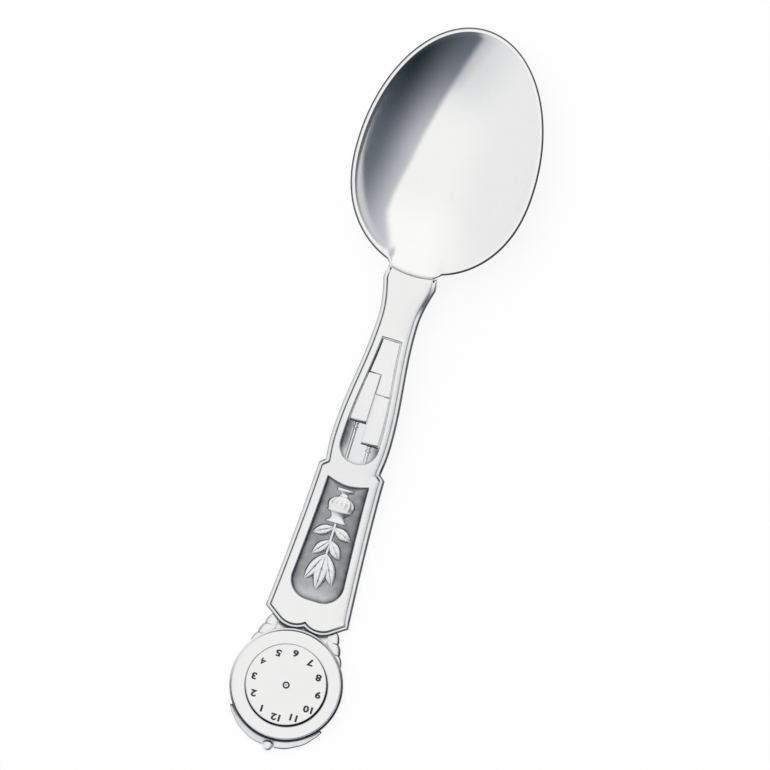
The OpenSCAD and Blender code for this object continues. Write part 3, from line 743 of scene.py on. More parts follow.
# %% The back plate's mesh
def back_plate():
    """The plate of the whole handle, flat on top, with its pad and link."""
    bm = new_mesh()
    low, high = skin(bm, [ring_at(handle_outline(i, FIT_GAP + i), h, *t) for i, h, *t in BACK_EDGE])
    cover(bm, low)
    foot = [ring_at(handle_outline(BORDER + i, FIT_GAP + STEP_END + i), BACK_T, *t) for i, *t in STEP_FOOT]
    outer, inner = skin(bm, foot)
    cover(bm, high, outer)
    openings = []
    for outline, ground in ((window_outline, WINDOW_GROUND), (bay_outline, BAY_GROUND)):
        edge, middle = skin(bm, [ring_at(outline(g), BACK_T, *t, LOW_END) for g, *t in ground])
        openings.append(edge)
        cover(bm, middle)
    cover(bm, inner, *openings)
    add_pad(bm)
    cut_along(bm, Y_NOTCH, Y_HEEL)
    darken_step(bm)
    wear_gaps(bm)
    bend(bm)
    return bm


finish_piece(back_plate(), "back_plate", "handle_back", "back_silver")

# %% [markdown]
# The front plate carries the openings. An extrusion would have upright walls that can't be seen from above,
# so its walls lean in a little, as a struck plate's do. They show as a thin line: dark at the foot, where
# oxide stays and shade is painted in, and bright at the rounded upper edge. On the right a soft painted shade
# runs on over the border. The bay's walls take a small share of the window walls' dark.

# %% The front plate's mesh
# Each ring of an edge: inset or distance outside the wall, height, dark left, right and at the ends, oxide
# with painted shade
FRONT_EDGE = [(0, 0, 0.9, 0.2, 0.9), (0.02, 0.6, 0.85, 0.3, 0.85), (0.05, 1.0, 0.6, 0.4, 0.6),
              (0.1, 1.18, 0.3, 0.44, 0.4), (0.18, 1.27, 0.1, 0.42, 0.2), (0.28, 1.3, 0, 0.38, 0.04),
              (0.34, 1.3, 0, 0.35, 0), (0.6, 1.3, 0, 0.26, 0), (0.85, 1.3, 0, 0.14, 0)]
OPENING_EDGE = [(0, 0, 1, 0.8, 0.7), (0.02, 0.5, 0.9, 0.6, 0.5), (0.06, 0.95, 0.5, 0.3, 0.25),
                (0.12, 1.18, 0.2, 0.1, 0.1), (0.24, 1.29, 0, 0, 0), (0.32, 1.3, 0, 0, 0),
                (0.38, 1.3, 0, 0, 0)]
BAY_SHARE = 0.2


def opening_ring(outline, share, grow, height, *tarnish):
    """A ring of an opening's edge in the front plate, with a share of the dark."""
    return ring_at(outline(grow), BACK_T + height, *[share * t for t in tarnish], LOW_END)


def front_plate():
    """The plate of the case, the trunk and the foot, with its two openings."""
    bm = new_mesh()
    rim = [ring_at(handle_outline(BORDER + i, FIT_GAP + i), BACK_T + h, *t) for i, h, *t in FRONT_EDGE]
    low, high = skin(bm, rim)
    lows, highs = [low], [high]
    for outline, share in ((window_outline, 1), (bay_outline, BAY_SHARE)):
        foot, edge = skin(bm, [opening_ring(outline, share, *ring) for ring in OPENING_EDGE])
        lows.append(foot)
        highs.append(edge)
    cover(bm, *lows)
    cover(bm, *highs)
    cut_along(bm, Y_NOTCH, Y_HEEL)
    bend(bm)
    return bm


finish_piece(front_plate(), "front_plate", "handle_front", "handle_silver")

# %% [markdown]
# A long-case clock is driven by weights on rods. Here they are three flat plates in the bay: two in front
# that hang at different heights, each a little crowned like the drum it stands for, and one behind them. A
# box with a bevel would have no crown, so a grid is moved onto the plan of each weight, its rim is extruded
# down to the ground, and the upper edge is bevelled.

# %% The two weights in front
WEIGHT_T, WEIGHT_GAP, WEIGHT_ROUND, CROWN_R = 0.95, 0.15, 0.07, 7
WEIGHT_GRID = 12, 60
END_FALL, END_WIDTH, GAP_TARNISH = 0.35, 0.6, 0.3
SIDE = {"left": -1, "right": 1}


def front_weight(hand):
    """A crowned weight that fills its half of the bay and slopes down, dark, at its upper end."""
    bm = new_mesh()
    layer = bm.verts.layers.float["tarnish"]
    top = weight_top(hand)
    middle = bay_half(top + WEIGHT_LENGTH / 2) / 2
    columns, rows = WEIGHT_GRID
    for v in bmesh.ops.create_grid(bm, x_segments=columns, y_segments=rows, size=1)["verts"]:
        y = top + (v.co.y + 1) / 2 * WEIGHT_LENGTH
        inner, outer = WEIGHT_GAP / 2, bay_half(y) - WEIGHT_GAP
        x = inner + (v.co.x + 1) / 2 * (outer - inner)
        crown = (x - middle) ** 2 / (2 * CROWN_R)
        end = fall((y - top) / END_WIDTH)
        v.co = (SIDE[hand] * x, y, BACK_T + WEIGHT_T - crown - END_FALL * end)
        v[layer] = end
    rim = close_down(bm, BACK_T, GAP_TARNISH)
    bmesh.ops.bevel(bm, geom=rim, offset=WEIGHT_ROUND, offset_type="OFFSET", segments=2, profile=0.5,
                    affect="EDGES", material=-1)
    bend(bm)
    return bm


for hand in HANG:
    finish_piece(front_weight(hand), hand + "_weight", "weight_" + hand, "handle_silver")

# %% [markdown]
# The third weight shows only below the other two: up to the right weight on one side and up to the left one
# on the other. Its outline has a step in the middle that a grid can't follow, so it is a skin with a
# rounded upper edge and a flat fill.

# %% The rear weight
# Each ring of its edge: inset, height, dark left, right and at the ends, oxide with painted shade
REAR_EDGE = [(0, 0, 0.95, 0.35, 0.5), (0.02, 0.35, 0.8, 0.2, 0.4), (0.08, 0.5, 0.35, 0.05, 0.15),
             (0.18, 0.55, 0, 0, 0), (0.24, 0.55, 0, 0, 0)]
REAR_STEPS = {"right": 20, "left": 16}


def rear_outline(inset):
    """The rear weight, anticlockwise from where it meets the bay's right side."""
    gap = WEIGHT_GAP + inset
    low, step = Y_BAY - gap, inset - WEIGHT_GAP / 2
    right, left = [weight_top(hand) + WEIGHT_LENGTH + gap for hand in REAR_STEPS]
    sides = [(bay_half(y) - gap, y) for y in between(right, low, REAR_STEPS["right"])]
    sides += [(gap - bay_half(y), y) for y in between(low, left, REAR_STEPS["left"])]
    return sides + [(step, left), (step, right)]


def rear_weight():
    """The flat weight behind the other two."""
    bm = new_mesh()
    for loop in skin(bm, [ring_at(rear_outline(i), BACK_T + h, *t) for i, h, *t in REAR_EDGE]):
        cover(bm, loop)
    cut_along(bm, Y_ARCH, Y_BAY)
    bend(bm)
    return bm


finish_piece(rear_weight(), "rear_weight", "weight_rear", "handle_silver")

# %% [markdown]
# Much on a clock is turned on a lathe, and the lathe has its own operator: a section is spun once round an
# axis. Turned work gets its oxide and painted shade afterwards, by a rule that says from a vertex's place how
# dark it is. What stands on the dark ground shares one such rule: darkest at the ground, where oxide gathers
# and contact shade is painted in, bright above.

# %% Turned work
GROUND_DARK = 0.95


def turned(section, steps, closed=False):
    """A section of (radius, height) points spun once round the Z axis."""
    bm = new_mesh()
    verts = [bm.verts.new((r, 0, h)) for r, h in section]
    pairs = list(zip(verts, verts[1:])) + ([(verts[-1], verts[0])] if closed else [])
    edges = [bm.edges.new(pair) for pair in pairs]
    bmesh.ops.spin(bm, geom=verts + edges, axis=(0, 0, 1), cent=(0, 0, 0), angle=math.tau, steps=steps,
                   use_merge=True)
    bmesh.ops.remove_doubles(bm, verts=bm.verts, dist=MERGE_DIST)
    return bm


def tarnish_by(bm, rule):
    """Set each vertex's mark of oxide and painted shade from its place."""
    layer = bm.verts.layers.float["tarnish"]
    for v in bm.verts:
        v[layer] = rule(*v.co)


def ground_dark(z, reach, start=0):
    """Dark that rises from the ground and fades out over a reach: oxide with painted contact shade."""
    return GROUND_DARK * fall((z - BACK_T - start) / reach)


print("oxide at the ground", ground_dark(BACK_T, 1), "and none above its reach", ground_dark(BACK_T + 1, 1))

# %% [markdown]
# Each front weight hangs on a thin rod with a small collar above the weight. A plain cylinder would seem to
# float, so the rod is turned with its collar, then laid along the handle, and its lower side is spread into a
# fillet of solder on the ground. That fillet carries a painted shadow beside the rod.

# %% The rods
ROD_R, ROD_HIGH, ROD_SIDES, ROD_RINGS = 0.28, 0.3, 24, 8
# Each ring of the collar: radius, distance from the weight
COLLAR = [(0, 0), (0.28, 0), (0.34, 0.08), (0.34, 0.26), (0.28, 0.32), (0.28, 0.8), (0.36, 0.86), (0.4, 0.98),
          (0.36, 1.1), (0.28, 1.16)]
FILLET, FILLET_LOW, FILLET_MIDDLE = 0.3, 0.005, 0.02
ROD_SHADOW = 0.3, 0.05
WEIGHT_CLEAR, ARCH_CLEAR = 0.03, 0.06


def rod(hand):
    """A rod with its collar, from the arch to its weight."""
    end = weight_top(hand) - WEIGHT_CLEAR
    x = SIDE[hand] * bay_half(end) / 2
    start = Y_ARCH - math.sqrt(BAY_R**2 - (abs(x) + ROD_HIGH) ** 2) + ARCH_CLEAR
    shaft = [(ROD_R, h) for h in between(COLLAR[-1][1], end - start, ROD_RINGS)[1:]]
    bm = turned(COLLAR + shaft + [(0, end - start)], ROD_SIDES)
    for v in bm.verts:
        across, up, along = v.co
        spread = FILLET * min(1, max(0, -up) / ROD_R) ** 2 if abs(across) > FILLET_MIDDLE else 0
        height = max(FILLET_LOW, ROD_HIGH + up)
        v.co = (x + across + math.copysign(spread, across), end - along, BACK_T + height)
    # Painted shadow on the rod's lower side and fillet.
    tarnish_by(bm, lambda x, y, z: ground_dark(z, *ROD_SHADOW))
    bend(bm)
    return bm


for hand in HANG:
    finish_piece(rod(hand), hand + "_rod", "rod_" + hand, "handle_silver")

# %% [markdown]
# The relief in the window is an urn with a sprig of leaves and a bloom, a plain ornament of the
# silversmith's stock. The urn could be carved as a flat outline, but it reads better when it is turned like
# the rods, then pressed flat onto the ground, with flutes sunk round its belly. What is left below the
# ground is cut off.

# %% The urn
RELIEF_T, Y_URN, URN_H, URN_HALF, URN_SIDES = 1.0, -20.3, 7.2, 2.8, 112
# Each point of the section: share of the half width, share of the height
URN = [(0, 0.02), (0.64, 0.02), (0.66, 0.05), (0.62, 0.09), (0.4, 0.12), (0.28, 0.15), (0.26, 0.18),
       (0.34, 0.2), (0.34, 0.23), (0.5, 0.25), (0.72, 0.31), (0.9, 0.38), (0.98, 0.44), (1, 0.49),
       (0.97, 0.56), (0.9, 0.62), (0.93, 0.64), (0.93, 0.67), (0.78, 0.7), (0.6, 0.76), (0.5, 0.82),
       (0.52, 0.87), (0.66, 0.92), (0.8, 0.955), (0.82, 0.975), (0.78, 0.99), (0.6, 1.0), (0, 0.985)]
FLUTES, FLUTE_DEPTH, FLUTE_PLACE, FLUTE_REACH = 14, 0.1, 0.44, 0.18
FLUTE_DARK, FLUTE_POWER, URN_DARK = 0.45, 4, 0.28


def flute(x, y, z):
    """1 in the middle of a flute, 0 on the ridges and away from the belly."""
    angle = math.atan2((z - BACK_T) * URN_HALF / RELIEF_T, x)
    return abs(math.sin(FLUTES / 2 * angle)) * fall(abs((Y_URN - y) / URN_H - FLUTE_PLACE) / FLUTE_REACH)


def stand_on_ground(bm):
    """Cut a relief off at the ground and close it below."""
    cut(bm, (0, 0, BACK_T), (0, 0, 1), clear_below=True)
    fill_holes(bm)


def urn_tarnish(x, y, z):
    """Dark at the ground, oxide with painted contact shade, and oxide in the flutes."""
    return max(ground_dark(z, URN_DARK), FLUTE_DARK * flute(x, y, z) ** FLUTE_POWER)


def urn():
    """A turned urn with flutes, pressed flat."""
    bm = turned([(r * URN_HALF, h * URN_H) for r, h in URN], URN_SIDES)
    for v in bm.verts:
        v.co = (v.co.x, Y_URN - v.co.z, BACK_T + v.co.y * RELIEF_T / URN_HALF)
        sunk = 1 - FLUTE_DEPTH * flute(*v.co)
        v.co = (v.co.x * sunk, v.co.y, BACK_T + (v.co.z - BACK_T) * sunk)
    stand_on_ground(bm)
    tarnish_by(bm, urn_tarnish)
    bend(bm)
    return bm


finish_piece(urn(), "urn", "relief_urn", "carved_silver")

# %% [markdown]
# A chased leaf is a pointed dome with a sunk midrib and a few side veins. It could be sculpted, but a grid
# does it with a few formulas: one direction runs along the leaf and the other across, the width follows a
# sine, and the height is a dome less the veins. The same leaf, fuller and with fewer veins, makes a petal.

# %% One leaf
LEAF_GRID, LEAF_LOW = (20, 36), 0.02
LEAF_TRIM, LEAF_BLUNT, DOME_TRIM, DOME_BLUNT = 0.02, 0.8, 0.06, 0.6
RIB_WIDE, RIB_DEPTH, RIB_DARK = 0.16, 0.16, 1.2
VEIN_SLANT, VEIN_POWER, VEIN_START, VEIN_DEPTH, VEIN_DARK = 1.2, 6, 0.2, 0.05, 0.3
RIM_WIDE, RIM_DARK = 0.25, 0.85


def hump(share, trim):
    """A half wave along the leaf, with both ends trimmed off."""
    return math.sin(math.pi * (trim + (1 - 2 * trim) * share))


def add_leaf(bm, y, turn, size, veins):
    """A pointed, veined dome that starts on the middle line and runs towards the dial, turned by an angle."""
    length, width, height = size
    layer = bm.verts.layers.float["tarnish"]
    before = set(bm.verts)
    columns, rows = LEAF_GRID
    for v in bmesh.ops.create_grid(bm, x_segments=columns, y_segments=rows, size=1)["verts"]:
        across, along = v.co.x, (v.co.y + 1) / 2
        half = width / 2 * hump(along, LEAF_TRIM) ** LEAF_BLUNT
        rib = fall(abs(across) / RIB_WIDE)
        wave = max(0, math.sin(math.pi * (veins * along - VEIN_SLANT * abs(across))))
        vein = wave**VEIN_POWER * fall(abs(across) - VEIN_START)
        dome = (1 - across**4) ** 0.5 * hump(along, DOME_TRIM) ** DOME_BLUNT
        sunk = RIB_DEPTH * rib + VEIN_DEPTH * vein
        v.co = (half * across, -length * along, BACK_T + max(LEAF_LOW, height * dome * (1 - sunk)))
        # The leaf's rim is dark with oxide and painted contact shade.
        rim = RIM_DARK * fall((1 - abs(across)) / RIM_WIDE)
        v[layer] = min(1, rim + RIB_DARK * rib * along * (1 - along) + VEIN_DARK * vein)
    close_down(bm, BACK_T, 1)
    fresh = [v for v in bm.verts if v not in before]
    bmesh.ops.rotate(bm, verts=fresh, cent=(0, 0, 0), matrix=Matrix.Rotation(math.radians(turn), 3, "Z"))
    bmesh.ops.translate(bm, verts=fresh, vec=(0, y, 0))


print("a leaf is a grid of", LEAF_GRID)

# %% [markdown]
# The sprig is a turned stem with two pairs of leaves, and the bloom is three petals that open towards the
# dial. Each leaf could be an object, but a silversmith solders them into one ornament, so the leaves and
# the stem make one piece and the petals another.

# %% The sprig and the bloom
STEM_R, STEM_LENGTH, STEM_DARK, STEM_ROUND, STEM_SIDES, STEM_RINGS = 0.4, 6.4, 0.25, 0.02, 24, 8
Y_URN_TOP = Y_URN - URN_H
Y_BLOOM = Y_URN_TOP - STEM_LENGTH
# Length, width and height of a leaf and of a petal, and how many veins each has
LEAF, PETAL = (4.4, 2.3, 0.75), (7.4, 3.1, 1.0)
LEAF_VEINS, PETAL_VEINS, SIDE_PETAL_VEINS = 7, 6, 5
LEAF_PAIRS = [(0.08, 64), (0.5, 40)]
PETAL_SPREAD, SIDE_PETAL = 26, 0.88


def sprig():
    """A stem from the urn to the bloom, with pairs of leaves at shares of its length."""
    end = STEM_LENGTH - 2 * FIT_GAP
    stem = [(STEM_R, h) for h in between(STEM_ROUND, end, STEM_RINGS)]
    bm = turned([(0, 0)] + stem + [(0, end)], STEM_SIDES)
    for v in bm.verts:
        v.co = (v.co.x, Y_URN_TOP - FIT_GAP - v.co.z, BACK_T + v.co.y)
    stand_on_ground(bm)
    tarnish_by(bm, lambda x, y, z: ground_dark(z, STEM_DARK))
    for share, spread in LEAF_PAIRS:
        for side in SIDE.values():
            add_leaf(bm, Y_URN_TOP - STEM_R - share * STEM_LENGTH, side * spread, LEAF, LEAF_VEINS)
    bend(bm)
    return bm


def bloom():
    """A middle petal over two smaller ones."""
    bm = new_mesh()
    for side in SIDE.values():
        add_leaf(bm, Y_BLOOM, side * PETAL_SPREAD, [SIDE_PETAL * c for c in PETAL], SIDE_PETAL_VEINS)
    add_leaf(bm, Y_BLOOM, 0, PETAL, PETAL_VEINS)
    bend(bm)
    return bm


finish_piece(sprig(), "sprig", "relief_leaves", "carved_silver")
finish_piece(bloom(), "bloom", "relief_bloom", "carved_silver")

# %% [markdown]
# The clock's face is turned work, so each of its pieces is a section spun round the dial's axis. The bezel
# is a flat ring with round shoulders on a narrow flange. A torus would be too round and a bevelled ring too
# sharp, so the crown's section is an ellipse of a high power, which is flat on top and tight at its
# corners.

# %% The bezel's section
BORE_R, RING_R, BEZEL_R, BEZEL_Z = 8.2, 10.9, 11.35, BACK_T + 1.4
CROWN_POWER, CROWN_WALL, CROWN_STEPS, CROWN_TRIM = 6, 0.5, 40, 0.02
# Each point of the flange: inset from the outside, height above the pad
FLANGE = [(0.08, 0), (0, 0.08), (0, 0.25), (0.04, 0.33), (0.12, 0.35), (BEZEL_R - RING_R - 0.02, 0.35)]


def crown_point(a):
    """A point on the bezel's crown, from its outer wall over to the bore."""
    half, c, s = (RING_R - BORE_R) / 2, math.cos(a), math.sin(a)
    return (BORE_R + half + half * math.copysign(abs(c) ** (2 / CROWN_POWER), c),
            BACK_T + CROWN_WALL + (BEZEL_Z - BACK_T - CROWN_WALL) * max(0, s) ** (2 / CROWN_POWER))


bezel_section = [(BORE_R, BACK_T)] + [(BEZEL_R - inset, BACK_T + height) for inset, height in FLANGE]
bezel_section += [crown_point(a) for a in between(CROWN_TRIM, math.pi - CROWN_TRIM, CROWN_STEPS)]
print("the bezel's section has", len(bezel_section), "points")

# %% [markdown]
# The head's corners keep their oxide, and on the side away from the bowl shade is painted over it. The groove
# between bezel and dial is deep and black there, and on the lit side it is rubbed almost flat. So one
# function says how far a place on the head lies on its shaded side, and both the shape of the groove and the
# painted shade follow it.

# %% The bezel
# The side of the painted shade is turned a little by this angle.
HEAD_SIDES, SHADE_TURN = 160, math.radians(30)
GROOVE_HALF, GROOVE_WORN, GROOVE_LEAST = 0.6, 0.75, 0.1
GROOVE_WIDE, GROOVE_WIDER = 0.3, 0.15
FOOT_WIDE, FOOT_LEAST, FOOT_UPPER_SHADE, FOOT_SHADED, FOOT_BELOW = 0.25, 0.25, 0.9, 0.95, 0.3
NEARLY = 0.01


def sheltered(x, y):
    """How far a place on the head lies on its shaded side: 0 on the lit side, 1 on the shaded side."""
    return fall((1 + math.cos(math.atan2(x, y - Y_DIAL) + SHADE_TURN)) / 2)


def groove_dark(x, y):
    """How dark the groove is beside a place: a trace on the lit side, black on the shaded side, oxide with
    painted shade.
    """
    return GROOVE_LEAST + (1 - GROOVE_LEAST) * sheltered(x, y)


def set_on_pad(bm, top):
    """Set turned work on the pad. Next to the groove its edge is rubbed up to the top on the lit side."""
    for v in bm.verts:
        v.co.y += Y_DIAL
        r = math.hypot(v.co.x, v.co.y - Y_DIAL)
        if abs(r - BORE_R) < GROOVE_HALF and 0 < top - v.co.z < GROOVE_HALF:
            v.co.z = top - (top - v.co.z) * (1 - GROOVE_WORN * (1 - sheltered(v.co.x, v.co.y)))
    return bm


def bezel_tarnish(x, y, z):
    """Dark in the groove, at the crown's foot and on the flange, with shade painted heavier on the shaded
    side and towards the bowl.
    """
    r, shaded = math.hypot(x, y - Y_DIAL), sheltered(x, y)
    groove = fall((r - BORE_R) / (GROOVE_WIDE + GROOVE_WIDER * shaded)) * groove_dark(x, y)
    upper = max(0, (y - Y_DIAL) / r) ** 2
    foot = fall(abs(r - RING_R) / FOOT_WIDE) * max(FOOT_LEAST, FOOT_UPPER_SHADE * upper, FOOT_SHADED * shaded)
    # Painted shade in the groove and at the crown's foot, and a painted dark reflection on the flange.
    return max(groove if z < BEZEL_Z - NEARLY else 0,
               foot if z < BEZEL_Z - FOOT_BELOW else 0,
               shaded**0.5 if r > RING_R + NEARLY else 0)


bezel = set_on_pad(turned(bezel_section, HEAD_SIDES, closed=True), BEZEL_Z)
tarnish_by(bezel, bezel_tarnish)
finish_piece(bezel, "dial_bezel", "bezel", "dial_silver")

# %% [markdown]
# The dial is a flat disc with a rounded edge and a hole for its rivet. A plain disc would have no vertices
# between the rim and the middle, so rings of vertices near the rim let the oxide and painted shade fade in
# from the groove.

# %% The dial
DIAL_R, DIAL_Z, RIVET_R, SHANK_R = 8.15, BACK_T + 1.45, 0.725, 0.4
# Each ring near the edge: inset, drop below the dial's face
DIAL_EDGE = [(0, 0.36), (0.05, 0.2), (0.13, 0.09), (0.24, 0.02), (0.36, 0), (0.42, 0), (0.7, 0)]
DIAL_RINGS = [4, 1, 0.8, SHANK_R + FIT_GAP]
DIAL_DARK_INSET, DIAL_DARK_WIDE = 0.05, 0.3
COLLET_DARK, COLLET_WIDE = 0.5, 0.1


def dial_tarnish(x, y, z):
    """Dark at the edge, with painted shade heavier on the shaded side, and a thin ring round the rivet."""
    r = math.hypot(x, y - Y_DIAL)
    # Painted shade at the dial's edge, heavier on the shaded side.
    edge = fall((DIAL_R - DIAL_DARK_INSET - r) / DIAL_DARK_WIDE) * groove_dark(x, y)
    return max(edge, COLLET_DARK * fall((r - RIVET_R) / COLLET_WIDE))


dial_section = [(SHANK_R + FIT_GAP, BACK_T), (DIAL_R, BACK_T)]
dial_section += [(DIAL_R - inset, DIAL_Z - low) for inset, low in DIAL_EDGE]
dial_section += [(r, DIAL_Z) for r in DIAL_RINGS]
dial = set_on_pad(turned(dial_section, HEAD_SIDES, closed=True), DIAL_Z)
tarnish_by(dial, dial_tarnish)
finish_piece(dial, "clock_dial", "dial", "dial_silver")

# %% [markdown]
# The rivet holds the dial on the pad. Its head is a low dome with a dark ring and a punch mark in its
# middle, and its shank goes through the dial into the pad. A dot on the dial would look the same from above
# only, so it is turned as one piece, and the ring and the mark are places on it.

# %% The rivet
# Each point of the head: radius, height above the dial's face
RIVET_HEAD = [(0, 0.21), (0.13, 0.21), (0.16, 0.24), (0.3, 0.25), (0.4, 0.24), (0.45, 0.2), (0.5, 0.17),
              (0.6, 0.15), (0.68, 0.1), (RIVET_R, 0.02), (RIVET_R, 0), (SHANK_R, 0)]
SHANK_DEEP, RIVET_SIDES = 0.55, 48
PUNCH_R, PUNCH_DARK = 0.14, 0.8
PIN_RING_R, PIN_RING_HALF, PIN_RING_FADE = 0.57, 0.12, 0.08


def rivet_tarnish(x, y, z):
    """Dark in the punch mark and in a ring round it."""
    r = math.hypot(x, y - Y_DIAL)
    return PUNCH_DARK if r < PUNCH_R else fall((abs(r - PIN_RING_R) - PIN_RING_HALF) / PIN_RING_FADE)


shank = [(SHANK_R, BACK_T - SHANK_DEEP), (0, BACK_T - SHANK_DEEP)]
rivet = set_on_pad(turned([(r, DIAL_Z + h) for r, h in RIVET_HEAD] + shank, RIVET_SIDES), DIAL_Z)
tarnish_by(rivet, rivet_tarnish)
finish_piece(rivet, "dial_pin", "dial_rivet", "dial_silver")

# %% [markdown]
# The hours are punched and filled with black wax. One flat black would look printed, so the fill is a rough
# black with fine grey specks, as old wax has.

# %% Black for the numbers
WAX, WAX_SPECK, WAX_ROUGH = (0.012, 0.012, 0.014, 1), (0.06, 0.06, 0.065, 1), 0.6
SPECK_SCALE, SPECK_DETAIL, SPECK_AT = 4000, 3, (0.4, 0.75)


def number_black():
    """A rough black with fine grey specks."""
    material = bpy.data.materials.new("number_black")
    start = empty_tree(material)
    place = start.node("ShaderNodeTexCoord", out="Object")
    speck = start.node("ShaderNodeTexNoise", sockets={
        "Vector": place, "Scale": SPECK_SCALE, "Detail": SPECK_DETAIL})
    shader = start.node("ShaderNodeBsdfPrincipled", sockets={
        "Base Color": speck.fade(*SPECK_AT).mix(WAX, WAX_SPECK), "Roughness": WAX_ROUGH})
    start.node("ShaderNodeOutputMaterial", sockets={"Surface": shader})
    return material


print("specks about", round(1 / SPECK_SCALE / MM, 2), "mm across")

# %% [markdown]
# Punching the numbers into the disc would need a boolean for each digit. Very thin black marks on the dial
# look the same and keep the disc clean. A bevel thickens the strokes without closing the holes in the
# digits, and the 4, whose hole is the smallest, takes less of it. The numbers stand upright for someone who
# holds the spoon with its bowl down, so each is turned by half a turn.

# %% Numbers on the dial
NUMBER_R, NUMBER_SIZE, NUMBER_BOLD, NUMBER_WIDE, NUMBER_T = 6.65, 1.8, 0.085, 1.25, 0.02
FOUR_BOLD, NUMBER_CURVE = 0.035, 4
HOURS = 12


def number_mesh(hour):
    """The flat mesh of one number, thickened by a bevel."""
    curve = bpy.data.curves.new("number", "FONT")
    curve.body, curve.size, curve.bevel_resolution = str(hour), NUMBER_SIZE, 0
    curve.bevel_depth = FOUR_BOLD if hour == 4 else NUMBER_BOLD
    curve.align_x, curve.align_y, curve.resolution_u = "CENTER", "CENTER", NUMBER_CURVE
    flat = add_object("number", curve)
    bpy.context.view_layer.update()
    mark = bpy.data.meshes.new_from_object(flat)
    bpy.data.objects.remove(flat)
    return mark


numbers = new_mesh()
for hour in range(1, HOURS + 1):
    angle = math.tau * hour / HOURS
    x, y = -NUMBER_R * math.sin(angle), Y_DIAL - NUMBER_R * math.cos(angle)
    before = set(numbers.verts)
    numbers.from_mesh(number_mesh(hour))
    for v in numbers.verts:
        if v not in before:
            v.co = (x - NUMBER_WIDE * v.co.x, y - v.co.y, DIAL_Z + NUMBER_T * v.co.z / NUMBER_BOLD)
finish_piece(numbers, "dial_numbers", None, "dial_silver", number_black())

# %% [markdown]
# Between the case's corners and the bezel sit small carved scrolls, three flat leaf ends on each side.
# Three separate leaves would leave slits between them, so each scroll is one grid that runs along it: its
# inner edge follows the pad and the link, its outer edge is lightly scalloped, and a dark cut runs in from
# the outer edge between one leaf end and the next.

# %% The carved scrolls
# Places are measured from the dial's centre
SCROLL_START, SCROLL_END, SCROLL_LEAVES, SCROLL_GRID = (6.75, 12.75), (9.35, 6.3), 3, (72, 16)
SCROLL_OUT, SCALLOP, SCALLOP_BLUNT, SEAT_GAP = (0.927, 0.374), 0.3, 0.6, 0.03
SCROLL_LOW, SCROLL_SWELL, SWELL_FROM, SWELL_RUN = 0.45, 0.5, 0.1, 0.82
CUT_WIDE, CUT_POWER, CUT_DEPTH, CUT_DARK = 0.45, 1.5, 0.4, 0.85
# The outer edge takes painted shade, heavier on the right, and a painted shadow lies along the case's wall.
EDGE_SHADE, EDGE_WIDE = {"left": 0.55, "right": 1.0}, 0.3
INNER_DARK, INNER_WIDE, WALL_SHADOW, WALL_WIDE = 0.15, 0.25, 0.6, 0.4


def scroll(hand):
    """A low carved plate beside the head, from the case's corner to the bezel."""
    bm = new_mesh()
    layer = bm.verts.layers.float["tarnish"]
    columns, rows = SCROLL_GRID
    for v in bmesh.ops.create_grid(bm, x_segments=columns, y_segments=rows, size=1)["verts"]:
        along, across = (v.co.x + 1) / 2, (v.co.y + 1) / 2
        leaf = abs(math.sin(math.pi * SCROLL_LEAVES * along)) ** SCALLOP_BLUNT
        spine = [a + (b - a) * along for a, b in zip(SCROLL_START, SCROLL_END)]
        outer = [c + n * SCALLOP * leaf for c, n in zip(spine, SCROLL_OUT)]
        inner = (max(LINK_HALF, math.sqrt(max(0, PAD_R**2 - spine[1] ** 2))) + SEAT_GAP, spine[1])
        x, y = [a + (b - a) * across for a, b in zip(inner, outer)]
        wall = case_edge(x) - SEAT_GAP
        swell = math.sin(math.pi * (SWELL_FROM + SWELL_RUN * across)) ** 0.5
        nick = fall(leaf / CUT_WIDE) * across**CUT_POWER
        height = SCROLL_LOW + SCROLL_SWELL * swell * (1 - CUT_DEPTH * nick)
        v.co = (SIDE[hand] * x, Y_DIAL + min(y, wall), height)
        # Painted shade on the outer edge and painted shadow of the case's wall, besides dark cuts and a
        # little oxide inside.
        v[layer] = max(CUT_DARK * nick, EDGE_SHADE[hand] * fall((1 - across) / EDGE_WIDE),
                       INNER_DARK * fall(across / INNER_WIDE), WALL_SHADOW * fall((wall - y) / WALL_WIDE))
    close_down(bm, 0, EDGE_SHADE[hand])
    return bm


for hand in SIDE:
    finish_piece(scroll(hand), hand + "_scroll", "scroll_" + hand, "carved_silver")

# %% [markdown]
# The head ends in a carved crest: a crescent with a rolled edge that is broken in the middle by a bead. A
# section swept round an arc would be the same all along, but here the outer edge has fine scallops and gives
# way to the bead, so it is a grid run round an arc. Across it the height goes from a channel under the bezel,
# dark with the bezel's painted shadow, up over the roll, whose outer edge takes painted shade, heavier on the
# right, and the two ends of the crescent are dark.

# %% The crest
CREST_R, CREST_PLACE, CREST_TURN, CREST_STEPS = 10.75, 2.2, math.radians(63.3), 120
CREST_Y = Y_DIAL - CREST_PLACE
BEAD_R, BEAD_Y = 1.15, -73.85
# Each row across the crest: share of its width, height, dark left and right, painted shade in the channel and
# at the outer edge
ROLL = [(0, 0.5, 0.95, 0.9), (0.16, 0.58, 0.75, 0.65), (0.3, 0.74, 0.5, 0.35), (0.4, 0.82, 0.38, 0.2),
        (0.5, 0.85, 0.32, 0.16), (0.6, 0.87, 0.28, 0.14), (0.7, 0.91, 0.24, 0.12), (0.8, 0.97, 0.22, 0.12),
        (0.88, 0.99, 0.24, 0.25), (0.93, 0.96, 0.32, 0.55), (0.97, 0.86, 0.5, 0.85), (1, 0.62, 0.65, 0.95)]
SCALLOPS, SCALLOP_DEEP = 9, 0.08
CREST_TIP, CREST_TIP_DARK, CREST_DULL = 0.05, 0.85, 0.2


